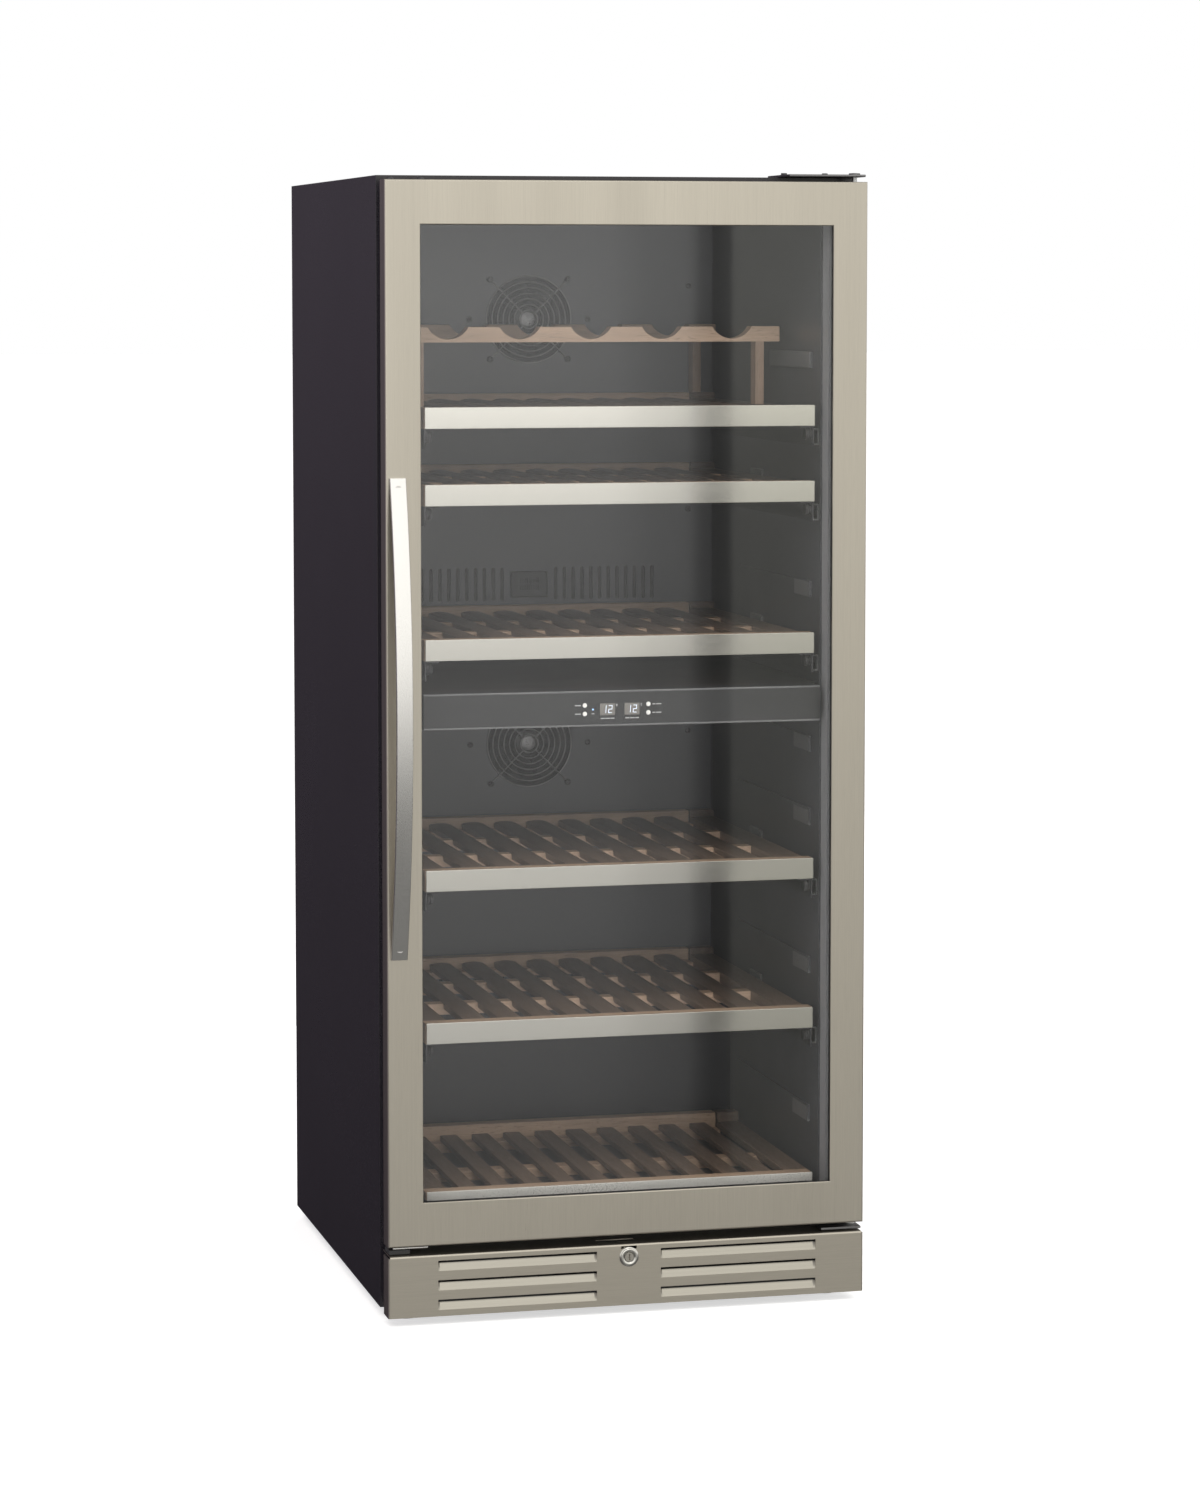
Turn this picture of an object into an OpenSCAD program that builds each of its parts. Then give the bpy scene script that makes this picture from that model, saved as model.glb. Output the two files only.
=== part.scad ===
// Two-zone wine cooler: a tall insulated cabinet with a glazed steel-framed door, six wooden
// shelves, a control panel between the zones and a refrigeration bay at the lower rear.
// The origin is the middle of the footprint at floor level. +X is the hinge side, the door faces -Y.

/* [Cabinet] */
// Overall width of the cabinet and door
body_w = 595; // [490:5:720]
// Height of the cabinet's top above the floor
body_h = 1378; // [1150:2:1660]
// Depth of the cabinet behind the door
cab_d = 583; // [485:1:700]
// Thickness of the painted outer sheet
sheet_t = 1; // [0.6:0.1:2]
// Insulated wall thickness, from the outer face to the inner face of the liner
wall_t = 42.5; // [35:0.5:50]
// Thickness of the plastic liner
liner_t = 2; // [1:0.5:3]
// Gap between the floor and the bottom of the cabinet
floor_gap = 13.5; // [10:0.5:25]
// Height of the insulated floor's steel sheet above the kick plate's lower edge
floor_sheet_rise = 80.6; // [75:0.2:95]
// Rise of the liner's floor above the lower edge of the door
floor_rise = 37.5; // [35:0.5:60]
// Drop of the liner's ceiling below the upper edge of the door
ceiling_drop = 44; // [38:0.5:60]
// Width of the flange round the liner's mouth
liner_flange = 20; // [15:1:22]

/* [Zones] */
// Height of the zone divider's underside above the floor
divider_z = 716.5; // [600:0.5:860]
// Thickness of the zone divider
divider_h = 43.5; // [40:0.5:60]
// Depth of the air space behind the evaporator covers
evaporator_space = 58; // [56:1:80]
// Depth of the machine bay at the lower rear
bay_d = 141; // [135:1:160]
// Height of the machine bay's ceiling above the floor
bay_h = 257; // [245:1:300]

/* [Door] */
// Overall thickness of the door with its seal
door_d = 53; // [48:0.5:60]
// Depth of the folded steel front
skin_d = 28; // [26:0.5:30]
// Thickness of the steel front
skin_t = 1.2; // [0.8:0.1:2]
// Width of the steel on each side of the glass
stile_w = 43.2; // [40:0.2:60]
// Height of the steel above and below the glass
rail_w = 53; // [50:0.5:70]
// Drop of the door's upper edge below the cabinet's top
door_drop = 6; // [4:0.5:12]
// Thickness of one glass pane
pane_t = 4; // [3:0.5:6]
// Gap between the two panes
pane_gap = 12; // [8:1:14]
// How far the panes reach behind the steel
pane_lap = 16; // [14:0.5:18]
// Width of the seal's strip
seal_w = 20; // [15:1:24]
// Distance of the seal's outer edge from the door's edge
seal_inset = 13.5; // [12:0.5:16]
// Distance of the hinge axis from the side of the door
hinge_in = 9.5; // [9:0.5:12]
// Distance of the hinge axis behind the face of the door
hinge_back = 24; // [22:0.5:26]
// Radius of the hinge pins
pin_r = 3; // [2.5:0.25:3.5]

/* [Handle] */
// Length of the bowed handle
handle_len = 574; // [400:2:700]
// Width of the handle's strip
handle_w = 19.5; // [14:0.5:26]
// Thickness of the handle's strip
handle_t = 5; // [4:0.5:8]
// How far the handle's middle stands out from the door
handle_stand = 43; // [35:1:60]
// Height of the handle's middle above the floor
handle_z = 733; // [600:1:900]
// Distance of the handle's middle line from the side of the door
handle_in = 14.3; // [12:0.1:18]

/* [Kick plate] */
// Height of the kick plate
kick_h = 75.2; // [70:0.2:82]
// Gap between the floor and the kick plate
kick_lift = 11.4; // [8:0.2:13]
// Gap between the kick plate and the door
kick_gap = 11; // [10:0.5:14]
// Depth of the kick plate's side returns
kick_side_d = 29; // [20:1:40]
// Depth of the kick plate's top return
kick_top_d = 45; // [40:1:48]
// Louvres in each column
louvre_rows = 3; // [2:1:3]
// Height of one louvre
louvre_h = 12.6; // [8:0.2:14]
// Height from one louvre to the next
louvre_pitch = 23.8; // [20:0.2:25]

/* [Shelves] */
// Height of a shelf's steel front strip
strip_h = 26; // [22:0.5:32]
// Gap on each side between the shelf strips and the liner
shelf_gap = 12.25; // [12:0.25:16]
// Distance of the shelf strips behind the face of the door
strip_back = 35; // [32:0.5:40]
// Clear depth between the shelves and the evaporator covers
shelf_rear_gap = 24; // [15:1:40]
// Height of the lowest upper-zone shelf's top over the divider
low_shelf_rise = 64.4; // [60:0.2:90]
// Place of the first shelf between that shelf and the ceiling
shelf_1_share = 0.552; // [0.5:0.002:0.58]
// Place of the second shelf between that shelf and the ceiling
shelf_2_share = 0.3685; // [0.3:0.0005:0.38]
// Place of the fourth shelf in the height of the lower zone
shelf_4_share = 0.7073; // [0.65:0.0001:0.75]
// Place of the fifth shelf in the height of the lower zone
shelf_5_share = 0.389; // [0.3:0.001:0.45]
// Number of slats between a shelf's side boards
slat_count = 9; // [6:1:10]
// Width of a slat
slat_w = 28; // [20:1:32]
// Thickness of a slat
slat_t = 8; // [6:0.5:10]
// Width of a shelf's side boards
side_board_w = 34; // [24:1:40]
// Number of thin slats in the bottom shelf
base_slat_count = 10; // [6:1:12]
// Width of a thin slat in the bottom shelf
base_slat_w = 22; // [16:1:26]

/* [Display rack] */
// Height of the display rack's rails above the shelf
rack_h = 94; // [60:1:110]
// Height of one rail
rack_rail_h = 19; // [18:0.5:30]
// Depth of one rail from front to back
rack_rail_d = 22; // [16:0.5:30]
// Bottle hollows in each rail
hollow_count = 5; // [3:1:6]
// Distance from one hollow to the next
hollow_pitch = 90.6; // [60:0.2:100]
// Depth of a hollow
hollow_depth = 15; // [8:0.5:16]

/* [Fans] */
// Width of a fan housing
fan_w = 119; // [100:1:130]
// Depth of a fan housing
fan_d = 25; // [20:1:28]
// Distance between a fan's mounting screws
fan_screw_pitch = 105; // [90:0.5:110]
// Blades on each rotor
blade_count = 7; // [5:1:9]

/* [Controls] */
// Radius of a push button
button_r = 2.7; // [2:0.1:3.5]
// Travel of a push button
button_travel = 0.8; // [0.4:0.1:1]
// Length of the lock's cam from the barrel's axis
cam_len = 32; // [30:0.5:34]
// Radius of the lock's barrel
barrel_r = 6; // [5:0.25:7]

/* [Hidden] */
$fn = 48;

// fits and small clearances
run_fit = 0.05;      // radial clearance of a turning pin
loose_fit = 0.3;     // clearance round a sliding or seated piece
seal_gap = 0.3;      // gap between the seal and the cabinet
over = 1;            // how far a cutter passes a face

// places across the width
half_w = body_w / 2;
liner_x = half_w - wall_t;
window_x = half_w - stile_w;
hinge_x = half_w - hinge_in;
handle_x = handle_in - half_w;
strip_x = liner_x - shelf_gap;

// places along the depth, from the handle to the rear panel
total_d = handle_stand + door_d + cab_d;
door_y = handle_stand - total_d / 2;
front_y = door_y + door_d;
back_y = total_d / 2;
hinge_y = door_y + hinge_back;
strip_y = door_y + strip_back;
bay_y = back_y - bay_d;
foam_t = 41;                                  // insulation round the bay and at the back
rear_sheet_t = 1;
liner_back_y = back_y - rear_sheet_t - foam_t - liner_t;
liner_step_y = bay_y - foam_t - liner_t;
cover_y = liner_back_y - evaporator_space;
cover_t = 2;
shelf_back_y = cover_y - shelf_rear_gap;
shelf_y = strip_y + 1.5;                      // back of the steel strip, face of the wood

// heights
kick_top = kick_lift + kick_h;
door_z0 = kick_top + kick_gap;
door_z1 = body_h - door_drop;
window_z0 = door_z0 + rail_w;
window_z1 = door_z1 - rail_w;
inner_z0 = door_z0 + floor_rise;
inner_z1 = door_z1 - ceiling_drop;
divider_top = divider_z + divider_h;
liner_step_z = bay_h + foam_t + liner_t;
floor_sheet_z = kick_lift + floor_sheet_rise;
top_zone_h = inner_z1 - divider_top - low_shelf_rise;
low_zone_h = divider_z - inner_z0;
shelf_tops = [
    divider_top + low_shelf_rise + shelf_1_share * top_zone_h,
    divider_top + low_shelf_rise + shelf_2_share * top_zone_h,
    divider_top + low_shelf_rise,
    inner_z0 + shelf_4_share * low_zone_h,
    inner_z0 + shelf_5_share * low_zone_h
];

// moulded ribs in the liner's side walls, as shares of each zone's height
upper_rib_shares = [0.2, 0.697];
lower_rib_shares = [0.146, 0.466, 0.786, 0.939];
rib_h = 19;
rib_out = 3;
rib_front = 34;      // distance of a rib's front end behind the cabinet's face
rib_rear = 40;       // distance of a rib's rear end in front of the liner's step

// door build-up
frame_fit = 0.4;
liner_ring_y1 = 45;  // rear face of the door liner behind the door's face
liner_collar_y1 = 34;
ring_rise = 5;       // step between the cabinet liner and the door liner, above and below
spacer_in = 3;       // how far the spacer stands back from the steel's edge
pane_y0 = door_y + skin_t;
spacer_y0 = pane_y0 + pane_t;
inner_pane_y0 = spacer_y0 + pane_gap;
ring_y0 = inner_pane_y0 + pane_t;
bush_r = 5.5;
bush_len = 17;
pin_in = 20;         // depth of each hinge pin in the door

// hinge plates and their screws
hinge_plate_t = 3;
hinge_plate_w = 97;
hinge_front = 6;
top_plate_d = 100;
top_screw_xs = [-84, -32];
foot_screw_xs = [-38, -14];
top_screw_y = front_y + 22;
screw_head_r = 5;
screw_head_h = 3;
screw_hole_r = 2.6;
panel_screw_r = 4;
panel_screw_h = 1.6;
fan_side_screw_x = 80;
cover_screw_in = 36.6;
cover_screw_zs = [inner_z1 - 81, (inner_z1 + divider_top) / 2 - 94, divider_z - 63.5];
foot_hinge_w = 52;
foot_hinge_z = kick_top + 1.9;
foot_hinge_leg = 24;

// lock
lock_z = kick_top - 15.7;
lock_rim_r = 12;
lock_rim_t = 3;
lock_tube_r = 9.5;
lock_tube_len = 22;
cam_w = 10;
cam_t = 3;
cam_y = door_y + lock_tube_len + 0.6;
barrel_len = 28;
keeper_x0 = -cam_len - 3;
keeper_x1 = cam_w / 2 + 3;
keeper_depth = 14;
keeper_side = 3.5;    // clearance beside the cam in the door's slot

// kick plate louvres
louvre_in = 40;       // half the width of the plain middle with the lock
louvre_end = 61;      // plain steel at each end
louvre_top = 7.4;     // steel above the top louvre
louvre_throw = 7;     // depth of a pressed vane

// controls, measured from the fascia's face and the divider's underside
fascia_t = 4;
fascia_y = door_y + 26;
nose_x = liner_x - 8;
nose_back = 7;        // rear end of the divider's narrow nose behind the cabinet's face
board_pocket = [132, 18, divider_h - 7.5];
board_pocket_x = -76;
pocket_floor = 4;
controls_z = divider_z + 20.5;
button_pitch = 10.3;
left_buttons_x = -48.6;
right_buttons_x = 30.6;
window_xs = [-20.4, 10.2];
display_size = [18.8, 3, 14.4];
led_x = -38.6;
led_r = 1;
button_proud = 1;
button_flange = 1;

// evaporator covers and their vents
cover_edge = 21;      // width of the corner strips beside the raised covers
cover_raise = 13;
fan_y = cover_y + cover_t;
fan_hole_r = fan_w / 2 - 1.5;
upper_fan_z = inner_z1 - 125.2;
lower_fan_z = divider_z - 75.5;
vent_count = 12;
vent_pitch = 12;
vent_w = 5;
vent_h = 44;
vent_x0 = 36.3;
vent_lift = 71.6;     // height of the upper vents over the divider
low_vent_lift = 10;
sensor_w = 50;
sensor_h = 35;
sensor_seat = 8;      // how far a sensor plate laps over its hole

// machine bay
bay_x = half_w - sheet_t;
bay_floor = floor_gap + sheet_t;
compressor_x = -half_w + 140;
compressor_r = 61;
compressor_y = back_y - 70;
mount_h = 20;
compressor_z = bay_floor + mount_h + 3;
compressor_h = 150;
plate_x = 85;         // half the size of the compressor's foot plate
plate_y = 55;
condenser_x1 = half_w - 60;
condenser_w = 150;
condenser_d = 90;
condenser_h = 150;
bay_fan_x = condenser_x1 - condenser_w - 40;
bay_fan_y = back_y - 72;
bay_fan_z = bay_floor + 75;
foot_r = 20;
foot_in = 32.5;
foot_front = 62;
foot_rear = 36;

// ---------- shared shapes ----------

// a block given by its two corners
module block(low, high) {
    translate(low) cube(high - low);
}

// a block across the middle of the width
module across(half, y0, y1, z0, z1) {
    block([-half, y0, z0], [half, y1, z1]);
}

// a round bar or cutter along Y, from y0 to y1
module bar_y(x, z, r, y0, y1) {
    translate([x, y0, z]) rotate([-90, 0, 0]) cylinder(r = r, h = y1 - y0);
}

// a round bar or cutter along Z, from z0 to z1
module bar_z(x, y, r, z0, z1) {
    translate([x, y, z0]) cylinder(r = r, h = z1 - z0);
}

// a round bar along X, from x0 to x1
module bar_x(y, z, r, x0, x1) {
    translate([x0, y, z]) rotate([0, 90, 0]) cylinder(r = r, h = x1 - x0);
}

// a rectangular frame facing the front: outer and inner half widths and heights
module frame(out_x, in_x, y0, y1, out_z0, out_z1, in_z0, in_z1) {
    difference() {
        across(out_x, y0, y1, out_z0, out_z1);
        across(in_x, y0 - over, y1 + over, in_z0, in_z1);
    }
}

// the same thing on both sides of the cabinet
module both_sides() {
    children();
    mirror([1, 0, 0]) children();
}

// the cavity of the liner, grown by a wall
module liner_cavity(grow, y0) {
    across(liner_x + grow, y0, liner_step_y + grow, inner_z0 - grow, inner_z1 + grow);
    across(liner_x + grow, y0, liner_back_y + grow, liner_step_z - grow, inner_z1 + grow);
}

// ---------- cabinet ----------

module cabinet_shell() {
    color("#262228") difference() {
        across(half_w, front_y, back_y - rear_sheet_t, floor_gap, body_h);
        across(half_w - sheet_t, front_y + sheet_t, back_y, floor_gap - over, body_h - sheet_t);
        across(
            liner_x + liner_flange + loose_fit, front_y - over, front_y + sheet_t + over,
            floor_gap - over, inner_z1 + liner_flange + loose_fit
        );
    }
}

module rear_panel() {
    color("#9a9c9e") difference() {
        across(half_w, back_y - rear_sheet_t, back_y, bay_h + sheet_t, body_h);
        pressing_w = 120;
        pressing_h = 8;
        pressing_pitch = 180;
        pressing_end = 100;
        for (z = [bay_h + pressing_w : pressing_pitch : body_h - pressing_end]) {
            across(pressing_w, back_y - rear_sheet_t / 2, back_y + over, z, z + pressing_h);
        }
    }
}

module base_frame() {
    air_x = half_w - 50;
    lip = 8;
    sill_h = 14;
    slot_x = bay_x - 40;
    slot_z = bay_floor + 6;
    slot_h = 3;
    color("#1c1c1e") {
        // bottom pan and the front wall with its air inlet
        across(bay_x - loose_fit, front_y + sheet_t, back_y - sheet_t, floor_gap, bay_floor);
        difference() {
            across(bay_x - loose_fit, front_y + sheet_t, front_y + 2 * sheet_t + over,
                   floor_gap, inner_z0 - liner_flange - loose_fit);
            across(air_x, front_y, front_y + 4 * sheet_t, bay_floor + lip, floor_sheet_z - lip);
        }
        // sheet under the insulated floor, and the bay's front wall and ceiling
        across(bay_x - loose_fit, front_y + sheet_t, bay_y, floor_sheet_z, floor_sheet_z + sheet_t);
        across(bay_x - loose_fit, bay_y, bay_y + sheet_t, floor_sheet_z, bay_h);
        across(bay_x - loose_fit, bay_y, back_y - rear_sheet_t, bay_h - sheet_t, bay_h);
        // rear sill that carries the power inlet
        difference() {
            across(bay_x - loose_fit, back_y - 2 * sheet_t, back_y - sheet_t, floor_gap, bay_floor + sill_h);
            across(slot_x, back_y - 3 * sheet_t, back_y, slot_z, slot_z + slot_h);
        }
    }
}

module insulation() {
    foam_x = half_w - sheet_t;
    color("#d9c88a") difference() {
        across(foam_x, front_y + sheet_t + liner_t + over, back_y - rear_sheet_t,
               floor_sheet_z + sheet_t, body_h - sheet_t);
        liner_cavity(liner_t, front_y);
        across(foam_x + over, bay_y, back_y, floor_gap, bay_h);
    }
}

module liner_rib(z) {
    block([liner_x - rib_out, front_y + rib_front, z - rib_h / 2],
          [liner_x + liner_t / 2, liner_step_y - rib_rear, z + rib_h / 2]);
}

module inner_liner() {
    color("#6a6b6d") {
        difference() {
            union() {
                liner_cavity(liner_t, front_y);
                across(liner_x + liner_flange, front_y, front_y + liner_t,
                       inner_z0 - liner_flange, inner_z1 + liner_flange);
            }
            liner_cavity(0, front_y - over);
        }
        both_sides() {
            for (share = upper_rib_shares) {
                liner_rib(divider_top + share * (inner_z1 - divider_top));
            }
            for (share = lower_rib_shares) liner_rib(inner_z0 + share * low_zone_h);
        }
    }
}

// a raised cover panel with its fan hole, vents and corner strips
module cover_panel(z0, z1, fan_z, vent_z) {
    raised_x = liner_x - cover_edge;
    difference() {
        union() {
            across(raised_x, cover_y, cover_y + cover_t, z0, z1);
            both_sides() {
                block([raised_x - cover_t, cover_y, z0], [raised_x, cover_y + cover_raise + cover_t, z1]);
                block([raised_x - cover_t, cover_y + cover_raise, z0],
                      [liner_x - loose_fit, cover_y + cover_raise + cover_t, z1]);
            }
        }
        bar_y(0, fan_z, fan_hole_r, cover_y - over, cover_y + cover_t + over);
        both_sides() {
            for (i = [0 : vent_count - 1]) {
                x = vent_x0 + i * vent_pitch;
                end_r = vent_w / 2;
                block([x - end_r, cover_y - over, vent_z + end_r],
                      [x + end_r, cover_y + cover_t + over, vent_z + vent_h - end_r]);
                for (z = [vent_z + end_r, vent_z + vent_h - end_r]) {
                    bar_y(x, z, end_r, cover_y - over, cover_y + cover_t + over);
                }
            }
        }
        across(sensor_w / 2 - sensor_seat, cover_y - over, cover_y + cover_t + over,
               vent_z + sensor_seat, vent_z + sensor_h - sensor_seat);
    }
}

module evaporator_covers() {
    color("#77787a") {
        cover_panel(divider_top + loose_fit, inner_z1 - loose_fit, upper_fan_z, divider_top + vent_lift);
        cover_panel(liner_step_z + loose_fit, divider_z - loose_fit, lower_fan_z,
                    liner_step_z + low_vent_lift);
    }
}

// a fin-and-tube coil in the space behind a cover
module coil(x_half, y0, y1, z0, z1, fins, rows) {
    fin_t = 1;
    tube_r = 4;
    tube_over = 8;
    for (i = [0 : fins - 1]) {
        x = -x_half + i * (2 * x_half - fin_t) / (fins - 1);
        block([x, y0, z0], [x + fin_t, y1, z1]);
    }
    for (k = [0 : rows - 1]) {
        bar_x((y0 + y1) / 2, z0 + (k + 0.5) * (z1 - z0) / rows, tube_r,
              -x_half - tube_over, x_half + tube_over);
    }
}

module evaporators() {
    coil_x = liner_x - 75;
    coil_h = 150;
    fins = 18;
    tubes = 4;
    air_gap = 4;
    coil_y0 = fan_y + fan_d + air_gap;
    coil_y1 = liner_back_y - air_gap / 2;
    low_z0 = liner_step_z + 80;
    high_z0 = divider_top + 140;
    color("#b9bcbf") {
        coil(coil_x, coil_y0, coil_y1, low_z0, low_z0 + coil_h, fins, tubes);
        coil(coil_x, coil_y0, coil_y1, high_z0, high_z0 + coil_h, fins, tubes);
    }
}

// a small plate with a toothed grille in the middle of the vents
module sensor_cover(z0) {
    plate_t = 2;
    tooth_w = 1.4;
    tooth_pitch = 3;
    teeth = 9;
    slot_h = 7;
    slot_z = 9;
    slot_pitch = 10;
    difference() {
        across(sensor_w / 2, cover_y - plate_t, cover_y, z0, z0 + sensor_h);
        for (row = [0, 1], i = [0 : teeth - 1]) {
            x = (i - (teeth - 1) / 2) * tooth_pitch;
            z = z0 + slot_z + row * slot_pitch;
            block([x - tooth_w / 2, cover_y - plate_t - over, z],
                  [x + tooth_w / 2, cover_y + over, z + slot_h]);
        }
    }
}

module sensor_covers() {
    lift = 4;
    color("#5d5e60") {
        sensor_cover(divider_top + vent_lift + lift);
        sensor_cover(liner_step_z + low_vent_lift + lift);
    }
}

module lamp_strip(z) {
    lamp_half = 110;
    lamp_h = 7;
    lamp_d = 18;
    lamp_y = front_y + 70;
    across(lamp_half, lamp_y, lamp_y + lamp_d, z - lamp_h, z);
}

module lamp_strips() {
    color("#eef2f5") {
        lamp_strip(inner_z1);
        lamp_strip(divider_z);
    }
}

// ---------- fans ----------

hub_r = 19;
tunnel_r = fan_w / 2 - 3.5;
blade_r = tunnel_r - 4;
spindle_r = 2;

// a square axial fan housing standing in the XZ plane, open towards -Y
module fan_housing() {
    strut_t = 2;
    strut_half = 2;
    spindle_y0 = 4;
    difference() {
        block([-fan_w / 2, 0, -fan_w / 2], [fan_w / 2, fan_d, fan_w / 2]);
        bar_y(0, 0, tunnel_r, -over, fan_d + over);
    }
    bar_y(0, 0, hub_r, fan_d - strut_t, fan_d);
    bar_y(0, 0, spindle_r, spindle_y0, fan_d);
    for (a = [45 : 90 : 315]) {
        rotate([0, a, 0]) block([hub_r - 1, fan_d - strut_t, -strut_half],
                                  [tunnel_r + 1, fan_d, strut_half]);
    }
}

module fan_rotor() {
    rotor_y0 = 2.5;
    rotor_y1 = fan_d - 3;
    blade_t = 1.6;
    blade_chord = 26;
    blade_pitch = 38;
    hub_wall = 1.4;
    difference() {
        bar_y(0, 0, hub_r - 1, rotor_y0, rotor_y1);
        bar_y(0, 0, spindle_r + run_fit, rotor_y0 + hub_wall, rotor_y1 + over);
    }
    for (i = [0 : blade_count - 1]) {
        rotate([0, i * 360 / blade_count, 0]) translate([hub_r - 2, (rotor_y0 + rotor_y1) / 2, 0])
            rotate([blade_pitch, 0, 0])
                block([0, -blade_t / 2, -blade_chord / 2], [blade_r - hub_r, blade_t / 2, blade_chord / 2]);
    }
}

// the place of each fan, with its axis along Y or turned along X in the bay
module at_upper_fan() { translate([0, fan_y, upper_fan_z]) children(); }
module at_lower_fan() { translate([0, fan_y, lower_fan_z]) children(); }
module at_bay_fan() {
    translate([bay_fan_x, bay_fan_y, bay_fan_z]) rotate([0, 0, -90]) children();
}

module fan_housings() {
    color("#2b2c2e") {
        at_upper_fan() fan_housing();
        at_lower_fan() fan_housing();
        at_bay_fan() fan_housing();
    }
}

module upper_fan_rotor() { color("#1d1e20") at_upper_fan() fan_rotor(); }
module lower_fan_rotor() { color("#1d1e20") at_lower_fan() fan_rotor(); }
module condenser_fan_rotor() { color("#1d1e20") at_bay_fan() fan_rotor(); }

// a round wire guard with four legs to the fan's screws
module fan_guard() {
    wire = 1.6;
    ring_r0 = 12;
    ring_step = 7.5;
    rings = 7;
    leg_r = fan_screw_pitch / sqrt(2);
    eye_r = 4.5;
    for (i = [0 : rings - 1]) {
        rotate([-90, 0, 0]) difference() {
            cylinder(r = ring_r0 + i * ring_step + wire / 2, h = wire);
            translate([0, 0, -over]) cylinder(r = ring_r0 + i * ring_step - wire / 2, h = wire + 2 * over);
        }
    }
    for (a = [45 : 90 : 315]) {
        rotate([0, a, 0]) {
            block([ring_r0 - wire / 2, 0, -wire / 2], [leg_r, wire, wire / 2]);
            bar_y(leg_r, 0, eye_r, 0, wire);
        }
    }
}

module fan_guards() {
    stand = 4;
    color("#8c8e90") {
        translate([0, cover_y - stand, upper_fan_z]) fan_guard();
        translate([0, cover_y - stand, lower_fan_z]) fan_guard();
    }
}

// ---------- divider and controls ----------

module zone_divider() {
    color("#4a4b4d") difference() {
        union() {
            across(liner_x - loose_fit, front_y + nose_back, cover_y - loose_fit, divider_z, divider_top);
            across(nose_x, fascia_y + fascia_t, front_y + nose_back, divider_z, divider_top);
        }
        translate([board_pocket_x, fascia_y + fascia_t - over, divider_z + pocket_floor]) cube(board_pocket);
    }
}

module control_fascia() {
    color("#3c3d40") difference() {
        across(nose_x, fascia_y, fascia_y + fascia_t, divider_z, divider_top);
        for (x = [left_buttons_x, right_buttons_x], z = [-button_pitch / 2, button_pitch / 2]) {
            bar_y(x, controls_z + z, button_r + loose_fit, fascia_y - over, fascia_y + fascia_t + over);
        }
        for (x = window_xs) {
            block([x - display_size[0] / 2, fascia_y - over, controls_z - display_size[2] / 2],
                  [x + display_size[0] / 2, fascia_y + fascia_t + over, controls_z + display_size[2] / 2]);
        }
        bar_y(led_x, controls_z, led_r, fascia_y - over, fascia_y + fascia_t + over);
    }
}

module display_windows() {
    color("#20262b") for (x = window_xs) {
        translate([x - display_size[0] / 2, fascia_y, controls_z - display_size[2] / 2])
            cube(display_size);
    }
}

board_y = fascia_y + fascia_t + 4.4;
switch_h = 0.8;

module control_board() {
    board_t = 1.6;
    switch_r = 1.5;
    margin = 3;
    color("#1f5a3a") {
        block([board_pocket_x + margin, board_y, divider_z + pocket_floor + margin],
              [board_pocket_x + board_pocket[0] - margin, board_y + board_t,
               divider_z + pocket_floor + board_pocket[2] - margin]);
        for (x = [left_buttons_x, right_buttons_x], z = [-button_pitch / 2, button_pitch / 2]) {
            bar_y(x, controls_z + z, switch_r, board_y - switch_h, board_y);
        }
    }
}

module push_button(x, z) {
    end_y = board_y - switch_h - button_travel - loose_fit;
    color("#e8e8e6") {
        bar_y(x, z, button_r, fascia_y - button_proud, end_y);
        bar_y(x, z, button_r + 1, fascia_y + fascia_t + loose_fit, fascia_y + fascia_t + loose_fit + button_flange);
    }
}

module power_button() { push_button(left_buttons_x, controls_z + button_pitch / 2); }
module light_button() { push_button(left_buttons_x, controls_z - button_pitch / 2); }
module upper_zone_button() { push_button(right_buttons_x, controls_z + button_pitch / 2); }
module lower_zone_button() { push_button(right_buttons_x, controls_z - button_pitch / 2); }

// ---------- kick plate and lock ----------

// a sloped vane pressed out of the kick plate, below its slot
module louvre_vane(x0, x1, z) {
    vane_t = 1;
    lean = atan(louvre_throw / louvre_h);
    translate([x0, door_y + skin_t / 2, z]) rotate([-lean, 0, 0])
        cube([x1 - x0, vane_t, louvre_h / cos(lean) - 1]);
}

module kick_plate() {
    louvre_x1 = half_w - louvre_end;
    color("#aaa69b") {
        difference() {
            across(half_w, door_y, door_y + kick_side_d, kick_lift, kick_top);
            across(half_w - skin_t, door_y + skin_t, door_y + kick_side_d + over,
                   kick_lift - over, kick_top - skin_t);
            for (i = [0 : louvre_rows - 1]) both_sides() {
                z = kick_top - louvre_top - i * louvre_pitch;
                block([louvre_in, door_y - over, z - louvre_h],
                      [louvre_x1, door_y + skin_t + over, z]);
            }
            bar_y(0, lock_z, lock_tube_r + run_fit, door_y - over, door_y + skin_t + over);
            block([keeper_x0, cam_y - keeper_side, kick_top - 2 * skin_t],
                  [keeper_x1, cam_y + cam_t + keeper_side, kick_top + over]);
        }
        across(half_w - skin_t, door_y + kick_side_d - over, door_y + kick_top_d, kick_top - skin_t, kick_top);
        for (i = [0 : louvre_rows - 1]) both_sides() {
            z = kick_top - louvre_top - i * louvre_pitch;
            louvre_vane(louvre_in - 0.5, louvre_x1 + 0.5, z - louvre_h - 0.5);
        }
    }
}

module lock_body() {
    color("#c9c9c4") difference() {
        union() {
            bar_y(0, lock_z, lock_rim_r, door_y - lock_rim_t, door_y);
            bar_y(0, lock_z, lock_tube_r, door_y, door_y + lock_tube_len);
        }
        bar_y(0, lock_z, barrel_r + run_fit, door_y - lock_rim_t - over, door_y + lock_tube_len + over);
    }
}

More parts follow.
